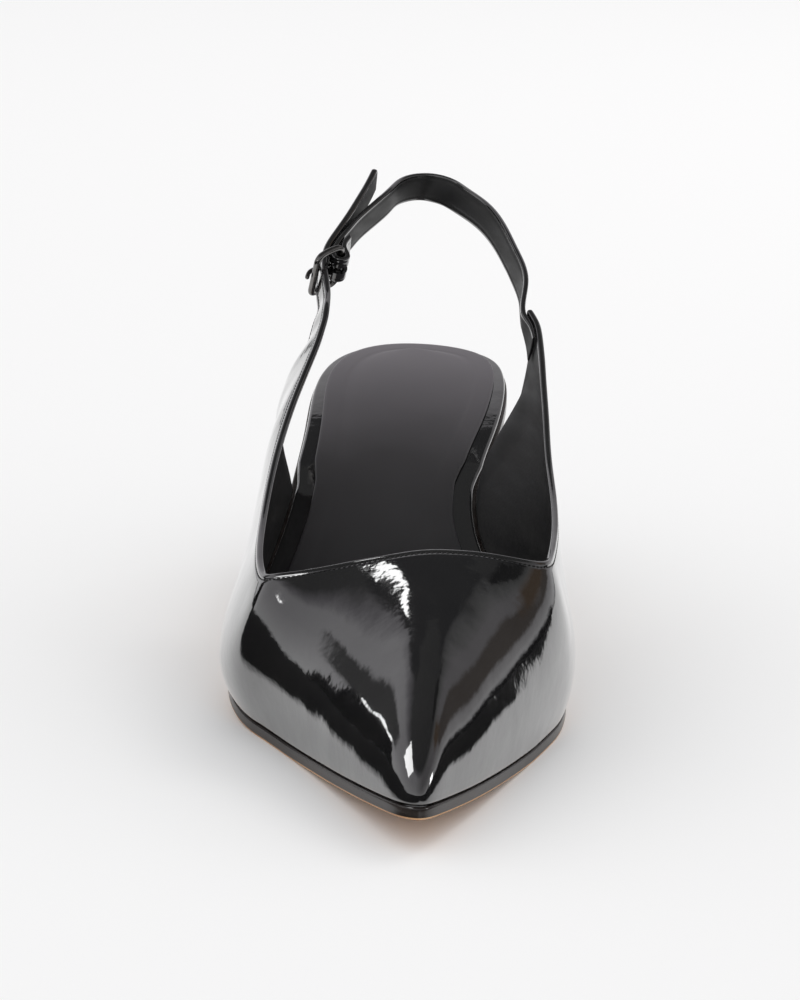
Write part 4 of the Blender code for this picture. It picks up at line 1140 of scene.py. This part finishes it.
def strap_rings(across, depth):
    """Rings of the strap, their outward directions and stations, and the run to each of its rows."""
    middles, upward, sag = strap_rows(across)
    run = along_line(middles)
    curve = spline(run, middles)
    places = strap_places(run[-1], run[FIRST_FOLD])
    ways = unit(curve(places + SMALL_RUN) - curve(places - SMALL_RUN))
    ups = spline(run, upward)(places)
    ups = unit(ups - ways * np.sum(ups * ways, axis=1, keepdims=True))
    outward = unit(np.cross(ups, ways))
    sagging = spline(run[:len(sag)], sag.reshape(len(sag), -1))
    sag = sagging(np.minimum(places, run[len(sag) - 1])).reshape(len(places), -1, 3)
    half = 0.5 * strap_thickness(places)
    half = half * end_thinning(np.minimum(places, run[-1] - places), half)
    rings = (curve(places)[:, None] + ups[:, None] * across[:, None] + sag
             + outward[:, None] * half[:, None, None] * depth[:, None])
    return rings, outward, places, run


def build_strap(patent, lining, thread):
    """The strap from its seam in the inner quarter round the heel to its fold, and its stitches."""
    across, depth, flat = strap_profile()
    rings, outward, places, run = strap_rings(across, depth)

    def station(place_on_strap):
        return int(np.argmin(np.abs(places - place_on_strap)))

    turn_starts = FIRST_FOLD + len(FOLD_LEAD)
    turn_ends = turn_starts + len(FOLD_DEGREES) - 1
    slot = (station(run[turn_starts] - SLOT_REACH), station(run[turn_ends] + SLOT_REACH),
            flat // 2 - 1, flat // 2)
    faces, inner = slotted_tube(len(places), flat, STRAP_EDGE_POINTS, slot)
    faces += end_faces(len(places), len(across))
    add_piece("strap_body", rings, faces, [patent, lining], "sling_strap", inner)

    start = station(SEAM_OVERLAP + STRAP_SEAM_CLEAR)
    stop = station(run[FIRST_FOLD] + 0.5 * FOLD_LENGTH)
    opposite = 2 * flat + STRAP_EDGE_POINTS - 1
    facing = outward[start:stop]
    lines = []
    for j in (SEAM_ROW, flat - 1 - SEAM_ROW):
        lines.append((rings[start:stop, j], facing))
        lines.append((rings[start:stop, opposite - j], -facing))
    add_stitches("strap_stitches", lines, thread)


# Sole, insole, sock and heel

PLAN_STEPS = 170
PLAN_END = 0.004
CAP_COLUMNS = 8
# Outline of the sole's edge: inset from the plan and height over the underside, in metres
SOLE_ROWS = ((0.0040, 0.00000), (0.0009, 0.00000), (0.00035, 0.00003), (0.00010, 0.00014),
             (0.0, 0.00034), (0.0, 0.00048), (0.00003, 0.0009), (0.00004, 0.0015), (0.00003, 0.0021),
             (0.00006, 0.0025), (0.00020, 0.00275), (0.0006, SOLE_THICK), (0.0030, SOLE_THICK))
TAN_ROWS = 5
# The insole's rim: degrees round it, how far it curves back, and the reach of its flat rows
RIM_DEGREES = (-90, -65, -40, -15, 10, 35, 60, 80, 90)
RIM_BACK = 0.0009
RIM_REACH = 0.003
# Outline of the sock: inset from its edge and height over the insole
SOCK_ROWS = ((0.0020, 0.0), (0.0002, 0.0), (0.0, 0.00015), (0.0, 0.00055), (0.00012, 0.00078),
             (0.0004, 0.0009), (0.0012, 0.0009), (0.0042, 0.00092), (0.0047, 0.00090),
             (0.0052, 0.00085), (0.0060, 0.00085))
SOCK_COLUMNS = 24
SOCK_CROWN = 0.0006
SOCK_CROWN_POWER = 0.8
HEEL_RINGS = 70
BREAST_POINTS = 9
BREAST_HOLLOW = 0.0007
# Outline of the heel's tip: inset and height
TIP_ROWS = ((0.0006, 0.0), (0.0002, 0.00006), (0.0, 0.0003), (0.0, 0.0012), (0.0, 0.0030),
            (0.0, TOP_PIECE_THICK - 0.0003), (0.00015, TOP_PIECE_THICK - 0.00006),
            (0.0005, TOP_PIECE_THICK))


def plan_turns_from(station):
    """Turns along one side of the plan from a station back to the heel, and their stations."""
    turns = np.linspace(float(turn_of(station)), math.pi - PLAN_END, PLAN_STEPS)
    return turns, 0.5 * (1.0 + np.cos(turns))


def plan_rings(turns, base, rows):
    """Rings on the plan, medial side and back on the lateral: rows give inset and rise over base."""
    both = np.concatenate([turns, -turns[::-1]])
    rings = []
    for inset, rise in rows:
        depth = np.broadcast_to(inset, turns.shape)
        flat = inset_point(both, np.concatenate([depth, depth[::-1]]))
        rings.append(np.column_stack([flat, base(flat[:, 1]) + rise]))
    return np.array(rings)


def plan_body(rings, columns=CAP_COLUMNS, lift=None):
    """A body from rings on the plan, with strips across both ends; lift raises the upper end."""
    count, size = rings.shape[:2]
    half, total = size // 2, count * size
    vertices, faces = [rings.reshape(-1, 3)], tube_faces(count, size)
    for level in (0, count - 1):
        index = np.zeros((half, columns + 1), int)
        index[:, 0] = level * size + np.arange(half)
        index[:, -1] = level * size + size - 1 - np.arange(half)
        for c in range(1, columns):
            share = c / columns
            points = rings[level, :half] * (1.0 - share) + rings[level, half:][::-1] * share
            if lift is not None and level:
                points[:, 2] += lift(share)
            index[:, c] = total + np.arange(half)
            total += half
            vertices.append(points)
        for c in range(columns):
            faces += strip_faces(index[:, c], index[:, c + 1], level == 0)
    return np.concatenate(vertices), faces


def build_sole(paint, leather):
    """The sole, its edge painted and its underside tan up to the last of the tan rows."""
    turns = np.linspace(PLAN_END, math.pi - PLAN_END, PLAN_STEPS)
    rings = plan_rings(turns, underside, SOLE_ROWS)
    vertices, faces = plan_body(rings)
    count, size = rings.shape[:2]
    edge, cap = (count - 1) * size, (size // 2 - 1) * CAP_COLUMNS
    choice = [1] * (TAN_ROWS * size) + [0] * (edge - TAN_ROWS * size) + [1] * cap
    add_piece("sole_body", vertices, faces, [paint, leather], "outsole", choice)


def build_insole(patent):
    """The insole board with its rounded shiny rim."""
    turns, stations = plan_turns_from(INSOLE_END)
    inset = insole_inset(stations)
    half = 0.5 * INSOLE_THICK
    angles = np.radians(RIM_DEGREES)
    rows = [(inset + RIM_BACK * (1.0 - math.cos(angle)), GAP + half + half * math.sin(angle))
            for angle in angles]
    rows = [(inset + RIM_REACH, GAP)] + rows + [(inset + RIM_REACH, GAP + INSOLE_THICK)]
    vertices, faces = plan_body(plan_rings(turns, feather, rows))
    add_piece("insole_board", vertices, faces, [patent], "insole")


def build_sock(material):
    """The padded sock, slightly crowned across."""
    turns, stations = plan_turns_from(SOCK_END)
    widen = np.clip((stations - SOCK_WIDEN_FROM) / (SOCK_WIDEN_TO - SOCK_WIDEN_FROM), 0.0, 1.0)
    margin = SOCK_MARGIN * (SOCK_BACK_MARGIN + (1.0 - SOCK_BACK_MARGIN) * widen)
    inset = insole_inset(stations) + margin
    under = 2.0 * GAP + INSOLE_THICK
    rings = plan_rings(turns, feather, [(inset + back, under + rise) for back, rise in SOCK_ROWS])

    def crown(share):
        return SOCK_CROWN * (1.0 - (2.0 * share - 1.0) ** 2) ** SOCK_CROWN_POWER

    vertices, faces = plan_body(rings, SOCK_COLUMNS, crown)
    pad = add_piece("sock_pad", vertices, faces, [material], "sock")


def closed_heel_ring(lateral, medial, hollow):
    """One ring from the two halves, with a slightly hollow breast between their front ends."""
    back = 0.5 * (lateral[:1] + medial[:1])
    share = np.linspace(0.0, 1.0, BREAST_POINTS + 2)[1:-1, None]
    breast = medial[-1:] * (1.0 - share) + lateral[-1:] * share
    breast[:, 1:2] -= hollow * 4.0 * share * (1.0 - share)
    return np.concatenate([back, medial[1:], breast, lateral[:0:-1]])


def ring_fill(ring, first, turned):
    """Faces that fill a ring whose two halves match, with strips across it."""
    faces = [[first, first + 1, first + ring - 1]]
    for j in range(1, (ring - 1) // 2):
        faces.append([first + j, first + j + 1, first + ring - 1 - j, first + ring - j])
    if ring % 2 == 0:
        j = ring // 2
        faces.append([first + j - 1, first + j, first + j + 1])
    return [face[::-1] for face in faces] if turned else faces


def add_heel_piece(name, halves, hollow, material, node):
    """A closed piece of the heel from the lateral and medial halves of its rings."""
    rings = np.array([closed_heel_ring(lateral, medial, hollow) for lateral, medial in halves])
    count, size = rings.shape[:2]
    ends = ring_fill(size, 0, True) + ring_fill(size, (count - 1) * size, False)
    add_piece(name, rings, tube_faces(count, size) + ends, [material], node)


def tip_halves(shrink, height):
    """Lateral and medial half rings of the heel's tip."""
    half = tip_ring(TOP_PIECE_INSET + shrink)
    heights = np.full(len(half), height)
    return [np.column_stack([ORIGIN_SIDE + side * half[:, 0], half[:, 1], heights])
            for side in (-1.0, 1.0)]


# Buckle

BUCKLE_BOW = 0.0005
BUCKLE_STEPS = 160
BUCKLE_SPOKES = 14
BUCKLE_CORNER_POINTS = 12
PRONG_STEPS = 90
PRONG_SPOKES = 12
PRONG_END_DEGREES = (8, 30, 50, 70, 90)


def build_buckle_loop(metal):
    """The frame, a round bar bent to a rounded rectangle and slightly bowed."""
    _, up, outward, front, rear = buckle_axes()
    along = unit(front - rear)
    face = unit(np.cross(up, along))
    face = face * np.sign(np.dot(face, outward))
    length = np.linalg.norm(front - rear)
    line = rounded_rectangle(length, BUCKLE_WIDTH - BUCKLE_BAR, BUCKLE_CORNER, BUCKLE_CORNER_POINTS)
    line = np.concatenate([line, line[:1]])
    run = along_line(line)
    places = np.linspace(0.0, run[-1], BUCKLE_STEPS, endpoint=False)
    line = np.column_stack([np.interp(places, run, line[:, k]) for k in (0, 1)])
    bow = BUCKLE_BOW * (1.0 - (2.0 * line[:, 0:1] / length) ** 2)
    middles = 0.5 * (front + rear) + line[:, 0:1] * along + line[:, 1:2] * up + face * bow
    ways = unit(np.roll(middles, -1, axis=0) - np.roll(middles, 1, axis=0))
    rings = [circle(middle, 0.5 * BUCKLE_BAR, unit(np.cross(face, way)), face, BUCKLE_SPOKES)
             for middle, way in zip(middles, ways)]
    faces = tube_faces(len(rings), BUCKLE_SPOKES, True)
    add_piece("buckle_loop", rings, faces, [metal], "buckle_frame")


def build_buckle_tongue(metal):
    """The prong, a round bar with rounded ends along its line."""
    line, up = prong_line()
    run = along_line(line)
    curve = spline(run, line)
    radius = 0.5 * PRONG_THICK
    ends = radius * (1.0 - np.cos(np.radians(PRONG_END_DEGREES)))
    places = np.concatenate([ends, np.linspace(ends[-1], run[-1] - ends[-1], PRONG_STEPS)[1:-1],
                             (run[-1] - ends)[::-1]])
    ways = unit(curve(places + SMALL_RUN) - curve(places - SMALL_RUN))
    near = np.clip(np.minimum(places, run[-1] - places) / radius, 0.0, 1.0)
    radii = radius * np.sqrt(1.0 - (1.0 - near) ** 2)
    rings = [circle(point, size, np.cross(way, up), up, PRONG_SPOKES)
             for point, way, size in zip(curve(places), ways, radii)]
    size = (len(rings), PRONG_SPOKES)
    faces = tube_faces(*size) + end_faces(*size)
    add_piece("buckle_tongue", rings, faces, [metal], "buckle_prong")


# Floor, light and camera

FLOOR_HALF = 12.0
FLOOR_VALUES = {"Roughness": 0.9, "Specular IOR Level": 0.1}
FLOOR_WHITE = (0.90, 0.90, 0.905)
FLOOR_DARK = (0.01, 0.01, 0.01)
EDGE_SOFT = 0.004
# Dark ground for reflections: a point in it, then start and way of its two edges, side and
# distance in metres
DARK_GROUND = (
    ((-0.300, 0.035), ((-0.045, 0.216), (-0.580, -0.815)), ((-0.090, 0.152), (-0.790, -0.613))),
    ((0.300, 0.050), ((0.057, 0.226), (0.516, -0.856)), ((0.136, 0.124), (0.800, -0.570))),
)
WORLD_WHITE = (1.0, 1.0, 1.0, 1.0)
WORLD_LIGHT = 0.97
# Dark wall: degrees from straight back, positive to the medial side, and its top as upward part
DARK_WALL = ((-62.0, 0.0), (-58.0, 0.14), (-55.0, 0.32), (-52.0, 0.34), (-48.0, 0.30), (-43.0, 0.0),
             (53.0, 0.0), (56.0, 0.05), (62.0, 0.05), (68.0, 0.0))
WALL_BLACK = (0.012, 0.012, 0.012)
WALL_SOFT = (-0.01, 0.03)
# Where the left studio goes over to the right one, as sideward part of the direction
SIDES_SOFT = (-0.5, 0.5)
# Reflected studio by the upward part of the direction: place, colour
REFLECTED_LEFT = ((0.0, (0.80, 0.80, 0.81)), (0.20, (0.68, 0.67, 0.69)), (0.38, (0.58, 0.57, 0.59)),
                  (0.62, (0.56, 0.55, 0.57)), (0.70, (0.30, 0.29, 0.31)), (0.79, (0.09, 0.09, 0.09)))
REFLECTED_RIGHT = ((0.0, (0.74, 0.74, 0.75)), (0.14, (0.48, 0.47, 0.48)), (0.34, (0.28, 0.27, 0.28)),
                   (0.62, (0.28, 0.27, 0.28)), (0.70, (0.20, 0.20, 0.20)), (0.79, (0.07, 0.07, 0.07)))
# Cards: degrees from straight back, half width in degrees, height and half height as upward part,
# softness of the edge, colour
CARDS = (
    (-50.0, 14.0, 0.36, 0.13, 0.35, (0.10, 0.10, 0.10)),
    (60.0, 9.0, 0.36, 0.16, 0.35, (0.12, 0.105, 0.095)),
    (70.0, 8.0, 0.52, 0.20, 0.6, (0.15, 0.105, 0.07)),
    (-2.0, 36.0, 0.745, 0.060, 0.12, (0.05, 0.05, 0.052)),
    (54.0, 16.0, 0.800, 0.050, 0.3, (0.02, 0.02, 0.02)),
)
# Key light: both its ends, the point it faces, width and power
KEY_LIGHT = (((0.582, -0.556, 1.80), (1.218, -1.192, 1.80)), (0.0, 0.127, 0.0), 0.90, 6.0)
KEY_WARMTH = (1.0, 0.97, 0.94)
# Small lamps seen only in reflections: both ends of the lamp, the point it faces, width, power
LAMPS = (
    (((-0.028, 0.165, 0.0945), (-0.018, 0.159, 0.0910)), (-0.006, 0.193, 0.044), 0.003, 0.0006),
    (((-0.0545, 0.2000, 0.0400), (-0.0515, 0.2170, 0.0340)), (-0.006, 0.243, 0.022), 0.0025, 0.0006),
    (((-0.130, 0.258, 0.078), (-0.066, 0.270, 0.098)), (0.000, 0.256, 0.019), 0.070, 0.075),
    (((0.124, 0.234, 0.022), (0.124, 0.256, 0.022)), (0.005, 0.259, 0.016), 0.016, 0.008),
)
LIGHT_RAYS = ("camera", "diffuse", "glossy", "transmission")
WHITE = (1.0, 1.0, 1.0)

CAMERA_PLACE = (-0.009, 0.963, 0.248)
CAMERA_YAW = math.radians(0.49)
CAMERA_PITCH = math.radians(13.7)
CAMERA_ROLL = math.radians(1.4)
CAMERA_LENS = 126.0
CAMERA_FILM = 36.0
CAMERA_NEAR = 0.05
CAMERA_FAR = 60.0


def edge_side(tree, place_of, start, way, inside):
    """1 on the inner side of a line over the floor, 0 on its other side."""
    across = np.array([way[1], -way[0]]) / math.hypot(*way)
    across = across * np.sign(np.dot(across, inside - start))
    reach = float(np.dot(across, start))
    run = add_node(tree, "VectorMath", {0: place_of, 1: (*across, 0.0)}, operation="DOT_PRODUCT")
    return spread(tree, run["Value"], 0.0, 1.0, reach - EDGE_SOFT, reach + EDGE_SOFT)


def floor_place(side, distance):
    """A point of the floor in the part's own frame."""
    return place((side, distance, 0.0))[:2]


def dark_ground(tree, place_of):
    """1 on the dark parts of the floor, 0 elsewhere."""
    dark = 0.0
    for inside, *edges in DARK_GROUND:
        sides = []
        for start, way in edges:
            origin = floor_place(*start)
            ahead = floor_place(start[0] + way[0], start[1] + way[1]) - origin
            sides.append(edge_side(tree, place_of, origin, ahead, floor_place(*inside)))
        dark = work_out(tree, "MAXIMUM", dark, work_out(tree, "MULTIPLY", *sides))
    return dark


def build_floor():
    """A white floor, whose far parts on both sides lie in the dark for reflections."""
    material, tree, surface, place_of = new_material("studio_floor", FLOOR_VALUES)
    glossy = add_node(tree, "LightPath", {})["Is Glossy Ray"]
    seen = work_out(tree, "MULTIPLY", dark_ground(tree, place_of), glossy)
    colour = tint(tree, seen, ((0.0, FLOOR_WHITE), (1.0, FLOOR_DARK)))
    tree.links.new(colour, surface.inputs["Base Color"])
    mesh = bpy.data.meshes.new("studio_floor")
    corners = [(FLOOR_HALF * x, FLOOR_HALF * y, 0.0) for x, y in ((-1, -1), (1, -1), (1, 1), (-1, 1))]
    mesh.from_pydata(corners, [], [(0, 1, 2, 3)])
    mesh.materials.append(material)
    floor = bpy.data.objects.new("studio_floor", mesh)
    bpy.context.scene.collection.objects.link(floor)


def blended(tree, share, below, above):
    """A colour between two, each a plain colour or a socket."""
    below, above = ((*value, 1.0) if isinstance(value, tuple) else value for value in (below, above))
    return add_node(tree, "Mix", {0: share, 6: below, 7: above}, data_type="RGBA")[2]


def card_share(tree, field, middle, half, soft):
    """1 within half of the middle, falling to 0 over the soft part at its edge."""
    away = work_out(tree, "ABSOLUTE", work_out(tree, "SUBTRACT", field, middle))
    return spread(tree, away, 1.0, 0.0, half * (1.0 - soft), half)


def reflected_studio(tree):
    """What reflections see: greys by height, a dark wall at the back and a few cards."""
    axes = add_node(tree, "SeparateXYZ", {"Vector": add_node(tree, "TexCoord", {})["Generated"]})
    height = axes["Z"]
    turn = work_out(tree, "ARCTAN2", axes["X"], axes["Y"])
    round_share = spread(tree, turn, 0.0, 1.0, -math.pi, math.pi)
    tops = [(0.5 + turned / 360.0, (top, top, top)) for turned, top in DARK_WALL]
    wall = tint(tree, round_share, tops)
    over_wall = spread(tree, work_out(tree, "SUBTRACT", height, wall), 0.0, 1.0, *WALL_SOFT)
    sides = spread(tree, axes["X"], 0.0, 1.0, *SIDES_SOFT)
    seen = blended(tree, sides, tint(tree, height, REFLECTED_LEFT), tint(tree, height, REFLECTED_RIGHT))
    seen = blended(tree, over_wall, WALL_BLACK, seen)
    for turned, half_turn, middle, half_height, soft, colour in CARDS:
        inside = work_out(tree, "MULTIPLY",
                          card_share(tree, turn, math.radians(turned), math.radians(half_turn), soft),
                          card_share(tree, height, middle, half_height, soft))
        seen = blended(tree, inside, seen, colour)
    return seen


def build_world():
    """Even white light; only reflections see the studio."""
    world = bpy.data.worlds.new("studio")
    bpy.context.scene.world = world
    world.use_nodes = True
    tree = world.node_tree
    tree.nodes.clear()
    plain = add_node(tree, "Background", {"Color": WORLD_WHITE, "Strength": WORLD_LIGHT})[0]
    studio = add_node(tree, "Background", {"Color": reflected_studio(tree)})[0]
    glossy = add_node(tree, "LightPath", {})["Is Glossy Ray"]
    chosen = add_node(tree, "MixShader", {"Fac": glossy, 1: plain, 2: studio})["Shader"]
    add_node(tree, "OutputWorld", {"Surface": chosen})


def add_placed(name, content, axes, at):
    """A light or camera at a point, turned to three axes."""
    thing = bpy.data.objects.new(name, content)
    rows = np.column_stack([*axes, at]).tolist()
    thing.matrix_world = mathutils.Matrix(rows + [[0.0, 0.0, 0.0, 1.0]])
    bpy.context.scene.collection.objects.link(thing)
    return thing


def add_light(name, ends, target, width, power, seen_by, colour=WHITE):
    """An area light between two ends that faces the target, seen by the named kind of ray."""
    start, end = place(ends)
    at = 0.5 * (start + end)
    side = unit(end - start)
    way = place(target) - at
    way = unit(way - side * np.dot(way, side))
    light = bpy.data.lights.new(name, "AREA")
    light.shape = "RECTANGLE"
    light.size = np.linalg.norm(end - start)
    light.size_y = width
    light.energy = power
    light.color = colour
    thing = add_placed(name, light, (side, np.cross(side, way), -way), at)
    for kind in LIGHT_RAYS:
        setattr(thing, "visible_" + kind, kind == seen_by)


def build_camera():
    """The photograph's viewpoint, above and in front of the toe."""
    forward = np.array([math.sin(CAMERA_YAW) * math.cos(CAMERA_PITCH),
                        math.cos(CAMERA_YAW) * math.cos(CAMERA_PITCH), -math.sin(CAMERA_PITCH)])
    level = np.array([math.cos(CAMERA_YAW), -math.sin(CAMERA_YAW), 0.0])
    above = np.cross(level, forward)
    above = above * np.sign(above[2])
    right = math.cos(CAMERA_ROLL) * level + math.sin(CAMERA_ROLL) * above
    up = -math.sin(CAMERA_ROLL) * level + math.cos(CAMERA_ROLL) * above
    camera = bpy.data.cameras.new("camera")
    camera.lens = CAMERA_LENS
    camera.sensor_fit = "VERTICAL"
    camera.sensor_height = CAMERA_FILM
    camera.clip_start = CAMERA_NEAR
    camera.clip_end = CAMERA_FAR
    bpy.context.scene.camera = add_placed("camera", camera, (right, up, -forward), place(CAMERA_PLACE))


def main():
    """All pieces of the shoe, then floor, light and camera."""
    made = {name: make_material(name) for name in MATERIALS}
    patent, lining, thread = made["patent_leather"], made["lining_leather"], made["black_thread"]
    build_upper_shell(patent, lining)
    build_upper_stitches(thread)
    build_strap(made["strap_patent"], lining, thread)
    build_sole(made["sole_edge_paint"], made["sole_leather"])
    build_insole(patent)
    build_sock(made["sock_leather"])
    cover = [heel_ring(level) for level in np.linspace(0.0, 1.0, HEEL_RINGS)]
    add_heel_piece("heel_cover", cover, BREAST_HOLLOW, patent, "heel")
    tip = [tip_halves(*row) for row in TIP_ROWS]
    add_heel_piece("heel_tip", tip, 0.0, made["tip_rubber"], "top_piece")
    build_buckle_loop(made["dark_metal"])
    build_buckle_tongue(made["dark_metal"])
    build_floor()
    build_world()
    add_light("key", *KEY_LIGHT, "diffuse", KEY_WARMTH)
    for lamp in LAMPS:
        add_light("lamp", *lamp, "glossy")
    build_camera()
    bpy.context.scene.view_settings.view_transform = "Standard"


main()
